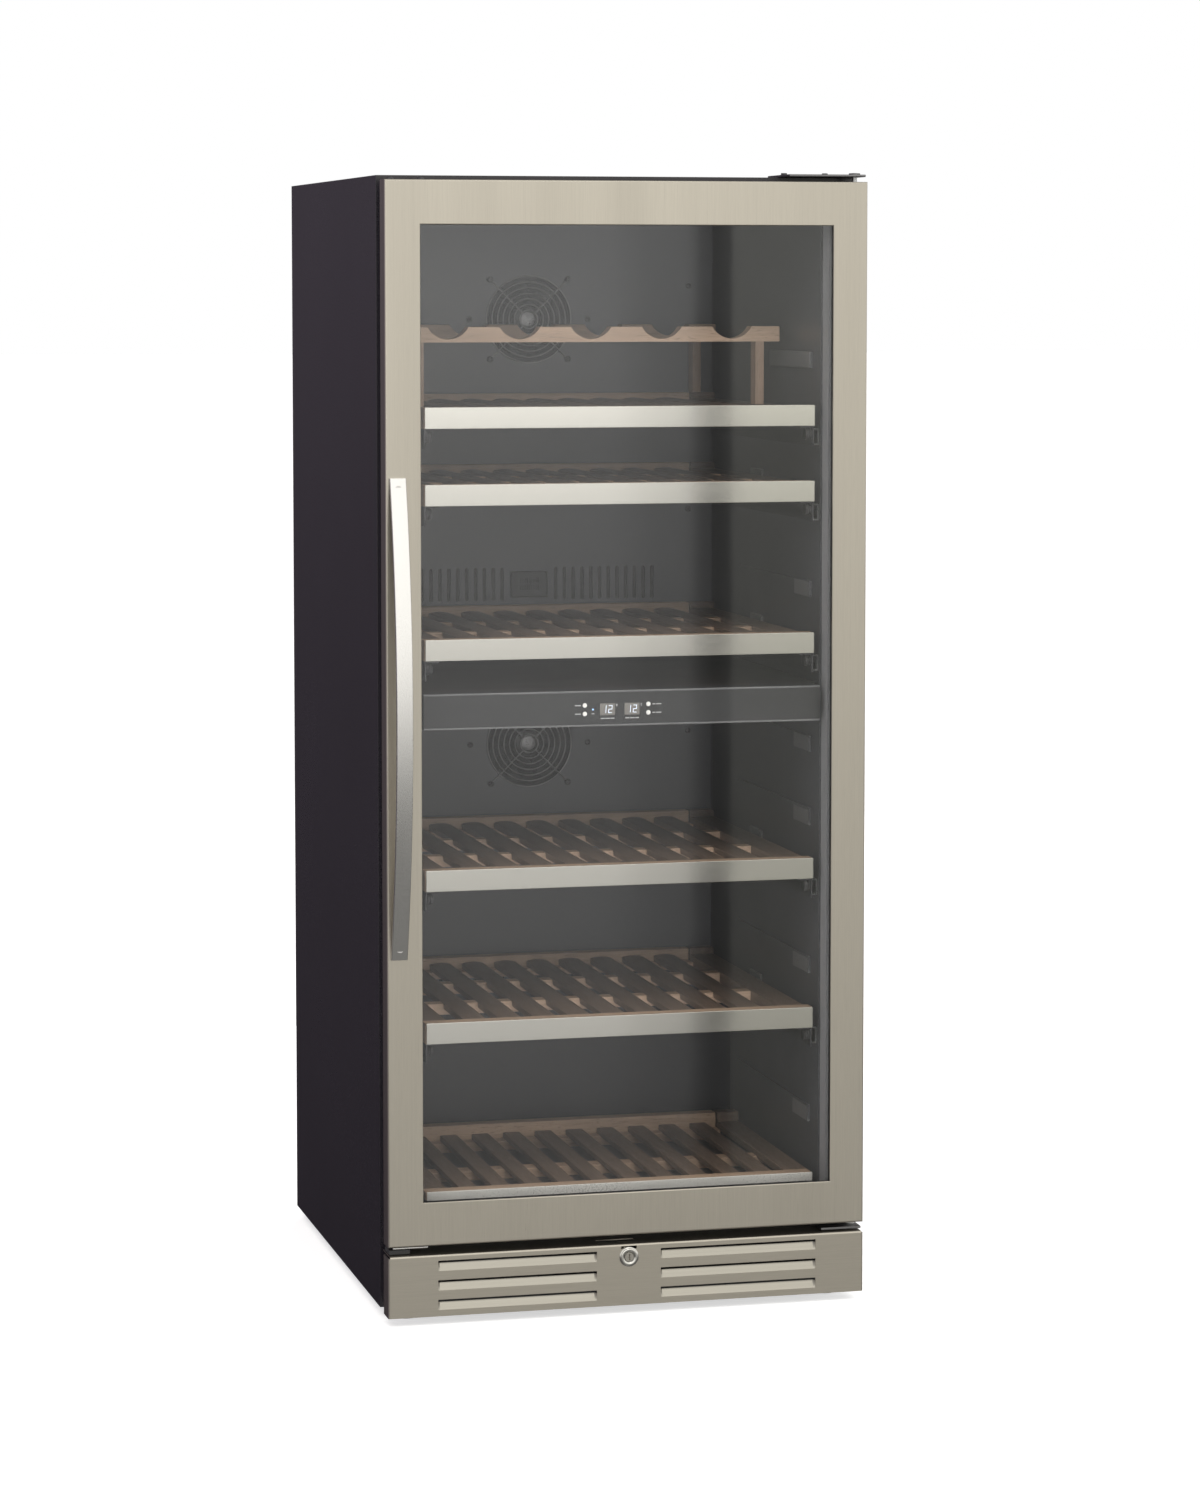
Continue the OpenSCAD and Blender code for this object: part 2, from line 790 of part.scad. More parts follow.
module lock_barrel() {
    key_w = 1.8;
    key_h = 7;
    key_depth = 14;
    color("#8f8f8a") difference() {
        bar_y(0, lock_z, barrel_r, door_y - lock_rim_t + 1, door_y - lock_rim_t + 1 + barrel_len);
        block([-key_w / 2, door_y - lock_rim_t, lock_z - key_h / 2],
              [key_w / 2, door_y - lock_rim_t + key_depth, lock_z + key_h / 2]);
    }
}

module lock_cam() {
    color("#b5b5b0") difference() {
        union() {
            bar_y(0, lock_z, barrel_r + 3, cam_y, cam_y + cam_t);
            block([-cam_len, cam_y, lock_z - cam_w / 2], [0, cam_y + cam_t, lock_z + cam_w / 2]);
        }
        bar_y(0, lock_z, barrel_r, cam_y - over, cam_y + cam_t + over);
    }
}

// ---------- hinges, screws and feet ----------

module top_hinge() {
    color("#55565a") difference() {
        block([half_w - hinge_plate_w, door_y + hinge_front, body_h],
              [half_w - 0.5, front_y + top_plate_d - door_d, body_h + hinge_plate_t]);
        for (x = top_screw_xs) {
            bar_z(half_w + x, top_screw_y, screw_hole_r, body_h - over, body_h + hinge_plate_t + over);
        }
    }
}

module bottom_hinge() {
    leg_y = front_y - hinge_plate_t;
    color("#6d6e72") {
        block([half_w - foot_hinge_w, door_y + hinge_front, foot_hinge_z],
              [half_w - 1, front_y, foot_hinge_z + hinge_plate_t]);
        block([half_w - foot_hinge_w, leg_y, foot_hinge_z - foot_hinge_leg],
              [half_w - 1, front_y, foot_hinge_z]);
    }
}

module hinge_pins() {
    color("#c8c8c8") {
        bar_z(hinge_x, hinge_y, pin_r, door_z1 - pin_in, body_h);
        bar_z(hinge_x, hinge_y, pin_r, foot_hinge_z + hinge_plate_t, door_z0 + pin_in);
    }
}

// the head of a pan-head screw in an evaporator cover
module panel_screw(x, z) {
    bar_y(x, z, panel_screw_r, cover_y - panel_screw_h, cover_y);
}

module cabinet_screws() {
    color("#3a3a3c") {
        for (x = top_screw_xs) {
            bar_z(half_w + x, top_screw_y, screw_head_r, body_h + hinge_plate_t,
                  body_h + hinge_plate_t + screw_head_h);
        }
        for (x = foot_screw_xs) {
            bar_y(half_w + x, foot_hinge_z - foot_hinge_leg / 2, panel_screw_r,
                  front_y - hinge_plate_t - panel_screw_h, front_y - hinge_plate_t);
        }
        for (z = [upper_fan_z, lower_fan_z]) both_sides() {
            panel_screw(fan_side_screw_x, z);
        }
        both_sides() {
            for (z = cover_screw_zs) panel_screw(liner_x - cover_screw_in, z);
        }
    }
}

module levelling_feet() {
    pad_h = 7;
    stud_r = 5;
    color("#2a2a2a") both_sides() {
        for (y = [door_y + foot_front, back_y - foot_rear]) {
            bar_z(half_w - foot_in, y, foot_r, 0, pad_h);
            bar_z(half_w - foot_in, y, stud_r, pad_h, floor_gap);
        }
    }
}

// ---------- machine bay ----------

module compressor() {
    dome_r = 30;
    plate_t = 3;
    color("#1b1b1d") {
        translate([compressor_x, compressor_y, compressor_z]) rotate_extrude() {
            square([compressor_r - dome_r, compressor_h]);
            translate([0, dome_r]) square([compressor_r, compressor_h - 2 * dome_r]);
            translate([compressor_r - dome_r, compressor_h - dome_r]) intersection() {
                circle(r = dome_r);
                square(dome_r);
            }
            translate([compressor_r - dome_r, dome_r]) intersection() {
                circle(r = dome_r);
                translate([0, -dome_r]) square(dome_r);
            }
        }
        block([compressor_x - plate_x, compressor_y - plate_y, compressor_z - plate_t],
              [compressor_x + plate_x, compressor_y + plate_y, compressor_z + over]);
    }
}

module compressor_mounts() {
    mount_r = 11;
    mount_x = plate_x - mount_r - 2;
    mount_y = plate_y - mount_r - 2;
    color("#202020") for (x = [-mount_x, mount_x], y = [-mount_y, mount_y]) {
        bar_z(compressor_x + x, compressor_y + y, mount_r, bay_floor, bay_floor + mount_h);
    }
}

module condenser() {
    fins = 16;
    tubes = 5;
    foot = 4;
    end_w = 8;
    y0 = back_y - 115;
    color("#2f3032") translate([condenser_x1 - condenser_w / 2, 0, 0])
        coil(condenser_w / 2 - end_w, y0, y0 + condenser_d, bay_floor + foot,
             bay_floor + foot + condenser_h, fins, tubes);
}

module drip_tray() {
    tray_x = 80;
    tray_z = compressor_z + compressor_h;
    tray_h = 26;
    tray_y0 = back_y - 128;
    tray_y1 = back_y - 14;
    wall = 2;
    color("#30343a") difference() {
        block([compressor_x - tray_x, tray_y0, tray_z], [compressor_x + tray_x, tray_y1, tray_z + tray_h]);
        block([compressor_x - tray_x + wall, tray_y0 + wall, tray_z + wall],
              [compressor_x + tray_x - wall, tray_y1 - wall, tray_z + tray_h + over]);
    }
}

module refrigerant_pipes() {
    pipe_r = 4;
    bend_r = 14;
    pipe_end = 20;
    pipe_y = back_y - 70;
    x0 = compressor_x + compressor_r;
    x1 = bay_fan_x - 25;
    high_z = bay_floor + 195;
    low_z = compressor_z + 60;
    color("#b5713f") {
        // discharge pipe: out of the compressor, up, and over the fan to the condenser
        bar_x(pipe_y, low_z, pipe_r, x0, x1 - bend_r);
        translate([x1 - bend_r, pipe_y, low_z + bend_r]) rotate([90, 0, 0]) rotate([0, 0, -90])
            rotate_extrude(angle = 90) translate([bend_r, 0]) circle(r = pipe_r);
        bar_z(x1, pipe_y, pipe_r, low_z + bend_r, high_z - bend_r);
        translate([x1 + bend_r, pipe_y, high_z - bend_r]) rotate([90, 0, 0]) rotate([0, 0, 90])
            rotate_extrude(angle = 90) translate([bend_r, 0]) circle(r = pipe_r);
        bar_x(pipe_y, high_z, pipe_r, x1 + bend_r, condenser_x1 - pipe_end);
    }
}

module power_inlet() {
    inlet_w = 28;
    inlet_h = 20;
    inlet_d = 22;
    inlet_x = half_w - 46;
    inlet_z = bay_floor + 40;
    inlet_y = back_y - 2 * sheet_t;
    wall = 2;
    blade = [4, 14, 2];
    blade_xs = [5, 12, 19];
    color("#141416") {
        difference() {
            block([inlet_x, inlet_y - inlet_d, bay_floor], [inlet_x + inlet_w, inlet_y, inlet_z + inlet_h]);
            block([inlet_x + wall, inlet_y - inlet_d + wall, inlet_z + wall],
                  [inlet_x + inlet_w - wall, inlet_y + over, inlet_z + inlet_h - wall]);
        }
        for (x = blade_xs) {
            translate([inlet_x + x, inlet_y - inlet_d + wall / 2, inlet_z + (inlet_h - blade[2]) / 2]) cube(blade);
        }
    }
}

// ---------- shelves ----------

rail_back_y = shelf_back_y - 8;
bracket_drop = 24;
wood_x = strip_x + 0.75;      // half the width of a shelf's wood
wood_drop = 4;                // drop of the slats below the top of the strip
bar_drop = 8;                 // top of a runner's bar below the strip
bar_h = 12;
bar_side = 5.25;              // how far a runner's bar stands out beside the strip
channel_side = 1.75;          // gap between the strip's end and the channel

// the fixed channel of one runner, on the right-hand wall, for a shelf whose top is at z
module runner_channel(z) {
    lip = 1.5;
    z1 = z - strip_h - bar_drop / 2;
    z0 = z - strip_h - bracket_drop;
    x0 = strip_x + channel_side;
    difference() {
        block([x0, front_y + nose_back, z0], [liner_x, rail_back_y, z1]);
        block([x0 - over, front_y, z0 + lip], [liner_x - lip, rail_back_y + over, z1 - lip]);
    }
}

module runner_rails() {
    color("#8f9194") both_sides() {
        for (z = shelf_tops) runner_channel(z);
    }
}

// a wooden slatted shelf whose strip's top is at z
module slatted_shelf(z) {
    front_w = 24;
    rear_w = 20;
    rear_up = 4;
    rear_down = 20;
    cross_w = 22;
    cross_t = 8;
    end_gap_share = 1.4;     // the gap beside a side board, as a share of the gap between slats
    board_x = wood_x - side_board_w;
    z0 = z - strip_h;
    slat_z = z - wood_drop - slat_t;
    gap = (2 * board_x - slat_count * slat_w) / (slat_count - 1 + 2 * end_gap_share);
    color("#9c6b45") {
        across(wood_x, shelf_y, shelf_y + front_w, z0, z);
        across(wood_x, shelf_back_y - rear_w, shelf_back_y, z - rear_down, z + rear_up);
        both_sides() block([board_x, shelf_y, z0], [wood_x, shelf_back_y, z - wood_drop]);
        for (i = [0 : slat_count - 1]) {
            x = -board_x + end_gap_share * gap + i * (slat_w + gap);
            block([x, shelf_y + front_w - over, slat_z],
                  [x + slat_w, shelf_back_y - rear_w + over, z - wood_drop]);
        }
        for (share = [0.36, 0.667]) {
            y = shelf_y + share * (shelf_back_y - shelf_y);
            across(board_x + over, y - cross_w / 2, y + cross_w / 2, slat_z - cross_t, slat_z + over / 2);
        }
        // ledge under the slats' rear ends
        across(board_x + over, shelf_back_y - 2 * rear_w, shelf_back_y - rear_w + over,
               slat_z - cross_t, slat_z + over / 2);
    }
}

// the steel front strip and the two runner bars that carry the shelf
module shelf_metal(z) {
    z0 = z - strip_h;
    leg_t = 2;
    flange_w = 18;
    seat = 3;                 // steel behind the face of the wood
    bar_y0 = front_y + nose_back;
    color("#d6d5cc") {
        across(strip_x, strip_y, shelf_y, z0, z);
        both_sides() {
            block([strip_x - leg_t, shelf_y + seat, z0 - bracket_drop], [strip_x, rail_back_y, z0]);
            block([strip_x - flange_w, shelf_y + seat, z0 - leg_t], [strip_x, rail_back_y, z0]);
            block([strip_x - leg_t, bar_y0, z0 - bar_drop - bar_h],
                  [strip_x + bar_side, rail_back_y, z0 - bar_drop]);
        }
    }
}

module shelf_1() { slatted_shelf(shelf_tops[0]); }
module shelf_2() { slatted_shelf(shelf_tops[1]); }
module shelf_3() { slatted_shelf(shelf_tops[2]); }
module shelf_4() { slatted_shelf(shelf_tops[3]); }
module shelf_5() { slatted_shelf(shelf_tops[4]); }
module shelf_1_metal() { shelf_metal(shelf_tops[0]); }
module shelf_2_metal() { shelf_metal(shelf_tops[1]); }
module shelf_3_metal() { shelf_metal(shelf_tops[2]); }
module shelf_4_metal() { shelf_metal(shelf_tops[3]); }
module shelf_5_metal() { shelf_metal(shelf_tops[4]); }

base_shelf_z0 = inner_z0 + 9.6;
base_shelf_h = 10.8;
base_shelf_back = liner_step_y - 62;

module bottom_shelf() {
    board_w = 30;
    front_w = 24;
    rear_w = 20;
    rear_up = 12;
    rib_w = 24;
    rib_lap = 2.5;
    slat_rise = 2;
    z1 = base_shelf_z0 + base_shelf_h - 1;
    gap = (2 * (wood_x - board_w) - base_slat_count * base_slat_w) / (base_slat_count + 1);
    color("#8f6443") {
        across(wood_x, shelf_y, shelf_y + front_w, base_shelf_z0, z1);
        across(wood_x, base_shelf_back - rear_w, base_shelf_back, base_shelf_z0, z1 + rear_up);
        both_sides() block([wood_x - board_w, shelf_y, base_shelf_z0], [wood_x, base_shelf_back, z1]);
        for (i = [0 : base_slat_count - 1]) {
            x = -wood_x + board_w + gap + i * (base_slat_w + gap);
            block([x, shelf_y + front_w - over, base_shelf_z0 + slat_rise],
                  [x + base_slat_w, base_shelf_back - rear_w + over, z1]);
        }
        for (share = [0.44, 0.91]) {
            y = shelf_y + share * (base_shelf_back - shelf_y);
            across(wood_x - 1, y - rib_w / 2, y + rib_w / 2, inner_z0, base_shelf_z0 + rib_lap);
        }
    }
}

module bottom_shelf_strip() {
    color("#d6d5cc")
        across(strip_x, strip_y, shelf_y, base_shelf_z0, base_shelf_z0 + base_shelf_h);
}

// a scalloped rail of the display rack
module scalloped_rail(y) {
    hollow_half = 25.5;
    hollow_r = (hollow_half * hollow_half + hollow_depth * hollow_depth) / (2 * hollow_depth);
    top = shelf_tops[0] + rack_h;
    difference() {
        across(wood_x, y, y + rack_rail_d, top - rack_rail_h, top);
        for (i = [0 : hollow_count - 1]) {
            bar_y((i - (hollow_count - 1) / 2) * hollow_pitch, top - hollow_depth + hollow_r, hollow_r,
                  y - over, y + rack_rail_d + over);
        }
    }
}

module display_rack() {
    rack_front = 155;      // distance of the front rail behind the strip
    post_w = 11.5;
    post_in = 32;
    post_top = 10;         // top of the posts below the top of the rails
    rear_foot = 8;         // height of the rear posts' feet over the front ones
    rail_ys = [strip_y + rack_front, shelf_back_y - rack_rail_d];
    foot_z = shelf_tops[0] - wood_drop;
    color("#c59a74") {
        for (y = rail_ys) scalloped_rail(y);
        both_sides() block([wood_x - post_in, rail_ys[0], foot_z],
                           [wood_x - post_in + post_w, rail_ys[0] + rack_rail_d, foot_z + rack_h - post_top]);
        both_sides() block([wood_x - post_in, rail_ys[1], foot_z + rear_foot],
                           [wood_x - post_in + post_w, rail_ys[1] + rack_rail_d, foot_z + rack_h - post_top]);
    }
}

// ---------- door ----------

// the slot in the door's lower edge that takes the lock's cam
module keeper_slot() {
    block([keeper_x0, cam_y - keeper_side, door_z0 - over],
          [keeper_x1, cam_y + cam_t + keeper_side, door_z0 + keeper_depth]);
}

// the hinge bores at the top and bottom of the door
module hinge_bores(r) {
    bar_z(hinge_x, hinge_y, r, door_z1 - pin_in - 1, body_h);
    bar_z(hinge_x, hinge_y, r, kick_top, door_z0 + pin_in + 1);
}

handle_screw_zs = [handle_z - handle_len / 2 + 14, handle_z + handle_len / 2 - 14];

module door_frame() {
    color("#b9b5a9") difference() {
        across(half_w, door_y, door_y + skin_d, door_z0, door_z1);
        across(half_w - skin_t, door_y + skin_t, door_y + skin_d + over, door_z0 + skin_t, door_z1 - skin_t);
        across(window_x, door_y - over, door_y + skin_t + over, window_z0, window_z1);
        hinge_bores(bush_r + 0.5);
        keeper_slot();
        for (z = handle_screw_zs) bar_y(handle_x, z, screw_hole_r, door_y - over, door_y + skin_t + over);
    }
}

module door_liner() {
    collar_x = half_w - skin_t - frame_fit;
    ring_in = 11.5;        // distance of the ring's edge from the door's edge
    ring_x = half_w - ring_in;
    pane_x = window_x + pane_lap;
    color("#8d8f91") difference() {
        union() {
            frame(collar_x, pane_x + loose_fit, door_y + skin_t, door_y + liner_collar_y1,
                  door_z0 + skin_t + frame_fit, door_z1 - skin_t - frame_fit,
                  window_z0 - pane_lap - loose_fit, window_z1 + pane_lap + loose_fit);
            frame(ring_x, liner_x, ring_y0, door_y + liner_ring_y1, door_z0 + ring_in, door_z1 - ring_in,
                  inner_z0 + ring_rise, inner_z1 - ring_rise);
        }
        hinge_bores(bush_r);
        keeper_slot();
        for (z = handle_screw_zs) bar_y(handle_x, z, 6, door_y, door_y + 9);
    }
}

module glass_pane(y0) {
    across(window_x + pane_lap, y0, y0 + pane_t, window_z0 - pane_lap, window_z1 + pane_lap);
}

module glass_outer() { color("#8d9396", 0.35) glass_pane(pane_y0); }
module glass_inner() { color("#8d9396", 0.35) glass_pane(inner_pane_y0); }

module glass_spacer() {
    spacer_x = window_x + spacer_in;
    spacer_w = 8;
    color("#101010") frame(spacer_x + spacer_w, spacer_x, spacer_y0, inner_pane_y0,
                           window_z0 - spacer_in - spacer_w, window_z1 + spacer_in + spacer_w,
                           window_z0 - spacer_in, window_z1 + spacer_in);
}

module door_gasket() {
    out_x = half_w - seal_inset;
    color("#1a1a1a") frame(out_x, out_x - seal_w, door_y + liner_ring_y1, front_y - seal_gap,
                           door_z0 + seal_inset, door_z1 - seal_inset,
                           door_z0 + seal_inset + seal_w, door_z1 - seal_inset - seal_w);
}

// the bowed strip: a ring sector whose ends meet the door's face
module door_handle() {
    half = handle_len / 2;
    bow = handle_stand - handle_t + 0.5;
    r_out = (half * half + bow * bow) / (2 * bow);
    boss_r = 5.5;
    centre_y = door_y - handle_stand + r_out;
    color("#c4c3bf") difference() {
        union() {
            intersection() {
                translate([handle_x - handle_w / 2, centre_y, handle_z]) rotate([0, 90, 0]) difference() {
                    cylinder(r = r_out, h = handle_w, $fn = 360);
                    translate([0, 0, -over]) cylinder(r = r_out - handle_t, h = handle_w + 2 * over, $fn = 360);
                }
                block([handle_x - handle_w, door_y - handle_stand - over, handle_z - half],
                      [handle_x + handle_w, door_y, handle_z + half]);
            }
            for (z = handle_screw_zs) bar_y(handle_x, z, boss_r, door_y - 7.5, door_y);
        }
        for (z = handle_screw_zs) bar_y(handle_x, z, 2.5, door_y - 6, door_y + over);
    }
}

module handle_screws() {
    color("#9a9a96") for (z = handle_screw_zs) {
        bar_y(handle_x, z, 2.5, door_y - 5.5, door_y + skin_t);
        bar_y(handle_x, z, 5, door_y + skin_t, door_y + skin_t + 3.5);
    }
}

module hinge_bush(z0, z1) {
    difference() {
        bar_z(hinge_x, hinge_y, bush_r, z0, z1);
        bar_z(hinge_x, hinge_y, pin_r + run_fit, z0 - over, z1 + over);
    }
}

module hinge_bushes() {
    color("#d8d8d6") {
        hinge_bush(door_z1 - bush_len, door_z1 + 0.5);
        hinge_bush(foot_hinge_z + hinge_plate_t + 0.4, door_z0 + bush_len);
    }
}

cabinet_shell();
rear_panel();
base_frame();
insulation();
inner_liner();
evaporator_covers();
evaporators();
sensor_covers();
lamp_strips();
fan_housings();
fan_guards();
zone_divider();
control_fascia();
display_windows();
control_board();
kick_plate();
lock_body();
top_hinge();
bottom_hinge();
hinge_pins();
cabinet_screws();
levelling_feet();
compressor();
compressor_mounts();
condenser();
drip_tray();
refrigerant_pipes();
power_inlet();
runner_rails();
bottom_shelf();
bottom_shelf_strip();
upper_fan_rotor();
lower_fan_rotor();
condenser_fan_rotor();
power_button();
light_button();
upper_zone_button();
lower_zone_button();
lock_barrel();
lock_cam();
door_frame();
door_liner();
glass_outer();
glass_inner();
glass_spacer();
door_gasket();
door_handle();
handle_screws();
hinge_bushes();
shelf_1();
shelf_2();
shelf_3();
shelf_4();
shelf_5();
shelf_1_metal();
shelf_2_metal();
shelf_3_metal();
shelf_4_metal();
shelf_5_metal();
display_rack();
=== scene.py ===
# Two-zone wine cooler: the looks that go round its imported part
import math
import bmesh
import bpy
import numpy as np
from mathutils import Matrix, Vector


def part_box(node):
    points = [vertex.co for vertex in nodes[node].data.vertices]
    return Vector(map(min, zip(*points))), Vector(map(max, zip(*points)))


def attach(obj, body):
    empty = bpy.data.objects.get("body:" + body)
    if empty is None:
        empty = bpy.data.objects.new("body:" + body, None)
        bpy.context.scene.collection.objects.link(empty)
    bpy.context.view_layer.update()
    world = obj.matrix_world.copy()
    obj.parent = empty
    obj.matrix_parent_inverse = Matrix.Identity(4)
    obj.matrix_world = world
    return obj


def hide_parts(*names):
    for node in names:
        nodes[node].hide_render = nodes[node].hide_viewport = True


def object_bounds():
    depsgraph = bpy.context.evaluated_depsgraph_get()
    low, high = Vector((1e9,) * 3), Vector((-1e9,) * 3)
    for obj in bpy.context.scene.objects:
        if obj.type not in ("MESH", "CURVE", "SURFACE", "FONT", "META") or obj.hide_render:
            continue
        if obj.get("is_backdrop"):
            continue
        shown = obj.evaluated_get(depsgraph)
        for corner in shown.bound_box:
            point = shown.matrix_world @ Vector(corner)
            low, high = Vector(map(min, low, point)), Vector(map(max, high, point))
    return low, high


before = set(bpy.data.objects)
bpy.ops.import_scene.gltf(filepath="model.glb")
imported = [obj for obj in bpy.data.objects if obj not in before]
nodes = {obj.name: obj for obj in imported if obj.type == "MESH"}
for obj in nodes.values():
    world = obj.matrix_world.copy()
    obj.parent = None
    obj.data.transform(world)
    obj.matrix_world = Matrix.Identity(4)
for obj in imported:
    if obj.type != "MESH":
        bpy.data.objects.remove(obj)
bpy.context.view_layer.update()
mm = 0.001
print("frame loaded", len(nodes), "nodes")

# shapes: every function here gives a pair, the points and the faces


def gridQuads(rows, cols, loopRows=False, loopCols=False):
    # the four-sided faces of a rows by cols grid of points, joined at either seam when asked
    r = np.arange(rows if loopRows else rows - 1)
    c = np.arange(cols if loopCols else cols - 1)
    a, b = np.meshgrid(r, c, indexing="ij")
    nextA, nextB = (a + 1) % rows, (b + 1) % cols
    return np.stack([a * cols + b, a * cols + nextB, nextA * cols + nextB, nextA * cols + b], -1).reshape(-1, 4)


def loft(rings, loop=False):
    # closed rings joined in order; a loft that is no loop has a flat face over each end ring
    rings = np.asarray(rings, float)
    count, around = rings.shape[:2]
    faces = gridQuads(count, around, loop, True).tolist()
    if not loop:
        faces += [list(range(around))[::-1], list(range((count - 1) * around, count * around))]
    return rings.reshape(-1, 3), faces


def roundBlock(low, high, radius, steps=2):
    # a rounded rectangle carried along the block's longest side; near each end the ring shrinks on a quarter circle
    low, high = np.minimum(low, high).astype(float), np.maximum(low, high).astype(float)
    size, middle = high - low, (high + low) / 2
    k = int(np.argmax(size))
    a, b = (k + 1) % 3, (k + 2) % 3
    radius = min(radius, 0.49 * size.min())  # opposite corners never meet
    turn = np.linspace(0, np.pi / 2, steps + 1)
    angle = (np.arange(4)[:, None] * np.pi / 2 + turn).ravel()
    cornerA = np.repeat([1, -1, -1, 1], steps + 1) * (size[a] / 2 - radius)
    cornerB = np.repeat([1, 1, -1, -1], steps + 1) * (size[b] / 2 - radius)
    lean = np.radians(np.linspace(78, 0, steps + 1))  # the end ring stops before it closes to a line
    along = np.concatenate([low[k] + radius * (1 - np.sin(lean)), (high[k] - radius * (1 - np.sin(lean)))[::-1]])
    grown = np.concatenate([radius * np.cos(lean), (radius * np.cos(lean))[::-1]])[:, None]
    rings = np.zeros((len(along), len(angle), 3))
    rings[..., k] = along[:, None]
    rings[..., a] = middle[a] + cornerA + grown * np.cos(angle)
    rings[..., b] = middle[b] + cornerB + grown * np.sin(angle)
    return loft(rings)


def lathe(profile, centre, axis=1, sides=40):
    # profile points (radius, distance along the axis) turned once round the axis through centre
    profile = np.asarray(profile, float)
    angle = np.linspace(0, 2 * np.pi, sides, endpoint=False)
    a, b = (axis + 1) % 3, (axis + 2) % 3
    rings = np.zeros((len(profile), sides, 3))
    rings[..., axis] = centre[axis] + profile[:, 1, None]
    rings[..., a] = centre[a] + profile[:, 0, None] * np.cos(angle)
    rings[..., b] = centre[b] + profile[:, 0, None] * np.sin(angle)
    return loft(rings)


def hollowLathe(profile, centre, axis=1, sides=40):
    # a lathe whose last ring meets its first, so that the middle stays open
    points, faces = lathe(profile, centre, axis, sides)
    seam = gridQuads(len(profile), sides, True, True)[(len(profile) - 1) * sides:]
    return points, faces[:-2] + seam.tolist()


def tubeAlong(path, radius, sides=8, up=(0, 1, 0), loop=False):
    # a circle set square to the path's direction at each of its points
    path = np.asarray(path, float)
    heading = np.roll(path, -1, 0) - np.roll(path, 1, 0) if loop else np.gradient(path, axis=0)
    heading /= np.linalg.norm(heading, axis=1)[:, None]
    side = np.cross(heading, np.asarray(up, float))
    side /= np.linalg.norm(side, axis=1)[:, None]
    rise = np.cross(side, heading)
    angle = np.linspace(0, 2 * np.pi, sides, endpoint=False)
    rings = path[:, None] + radius * (side[:, None] * np.cos(angle)[:, None] + rise[:, None] * np.sin(angle)[:, None])
    return loft(rings, loop)


def ringAround(centre, radius, wire, axis=1, count=64, sides=8):
    # a wire circle: a small circle carried round a large one
    angle = np.linspace(0, 2 * np.pi, count, endpoint=False)
    path = np.zeros((count, 3)) + np.asarray(centre, float)
    path[:, (axis + 1) % 3] += radius * np.cos(angle)
    path[:, (axis + 2) % 3] += radius * np.sin(angle)
    return tubeAlong(path, wire, sides, np.eye(3)[axis], True)


def roundedLoop(halfW, halfH, radius, steps=6):
    # points round a rectangle whose corners are quarter circles, in its own plane
    turn = (np.arange(4)[:, None] * np.pi / 2 + np.linspace(0, np.pi / 2, steps)).ravel()
    signA, signB = np.repeat([1, -1, -1, 1], steps), np.repeat([1, 1, -1, -1], steps)
    return np.stack([signA * (halfW - radius) + radius * np.cos(turn), signB * (halfH - radius)
                     + radius * np.sin(turn)], -1)


def loopPlate(outline, centre, y0, y1, ease):
    # a plate facing the front with this outline; its front edge steps in by ease on a quarter circle
    lean = np.linspace(np.pi / 2, 0, 4)
    shrink = np.concatenate([ease * (1 - np.cos(lean)), [0]])
    depth = np.concatenate([y0 + ease * (1 - np.sin(lean)), [y1]])
    far = np.abs(outline).max(0)
    rings = [np.stack([centre[0] + outline[:, 0] * (1 - s / far[0]), np.full(len(outline), y), centre[1]
                       + outline[:, 1] * (1 - s / far[1])], -1)
             for s, y in zip(shrink, depth)]
    return loft(rings)


def frameLoft(profile, halfW, z0, z1, notch=None):
    # a section (inset from the sides, y, inset from top and bottom) carried round a rectangle with mitred corners
    profile = np.asarray(profile, float)
    inX, y, inZ = profile.T
    corner = [(-halfW + inX, z0 + inZ), (halfW - inX, z0 + inZ), (halfW - inX, z1 - inZ), (-halfW + inX, z1 - inZ)]
    rings = [np.stack([x, y, z], -1) for x, z in corner]
    if notch:
        # between two places on the bottom edge the section's rear points come forward
        cut = []
        for x, forward in ((notch[0], False), (notch[0] + 0.1 * mm, True), (notch[1] - 0.1 * mm, True),
                           (notch[1], False)):
            cutY = np.where(y > notch[2], notch[2], y) if forward else y
            cut.append(np.stack([np.full(len(y), x), cutY, z0 + inZ], -1))
        rings = rings[:1] + cut + rings[1:]
    return loft(rings, True)


def joined(parts):
    # all parts as one: points in a row, and each face counted on by the points before it
    points, faces, start = [], [], 0
    for p, f in parts:
        points.append(np.asarray(p))
        faces += [[i + start for i in face] for face in f]
        start += len(p)
    return np.concatenate(points), faces


def mirrored(part):
    # the same part across the middle of the width
    points, faces = part
    return points * np.array([-1, 1, 1]), [list(face)[::-1] for face in faces]


def moved(part, by):
    # the same part set off by a step in x, y and z
    return part[0] + np.asarray(by, float), part[1]


def evenShading(piece):
    # large faces keep their own direction, so rounded edges do not shade them
    normals = piece.modifiers.new("normals", "WEIGHTED_NORMAL")
    normals.keep_sharp = True


def makePiece(name, parts, body, material, replaced=(), sharp=32, closed=True):
    # one object from its parts, riding its body and standing in for the nodes it replaces
    points, faces = joined(parts)
    mesh = bpy.data.meshes.new(name)
    mesh.from_pydata(points.tolist(), [], faces)
    if closed:
        work = bmesh.new()
        work.from_mesh(mesh)
        bmesh.ops.recalc_face_normals(work, faces=work.faces)
        work.to_mesh(mesh)
        work.free()
    mesh.shade_smooth()
    mesh.set_sharp_from_angle(angle=math.radians(sharp))
    mesh.materials.append(material)
    piece = bpy.data.objects.new(name, mesh)
    bpy.context.scene.collection.objects.link(piece)
    if closed:
        evenShading(piece)
    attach(piece, body)
    if replaced:
        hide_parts(*replaced)
    return piece


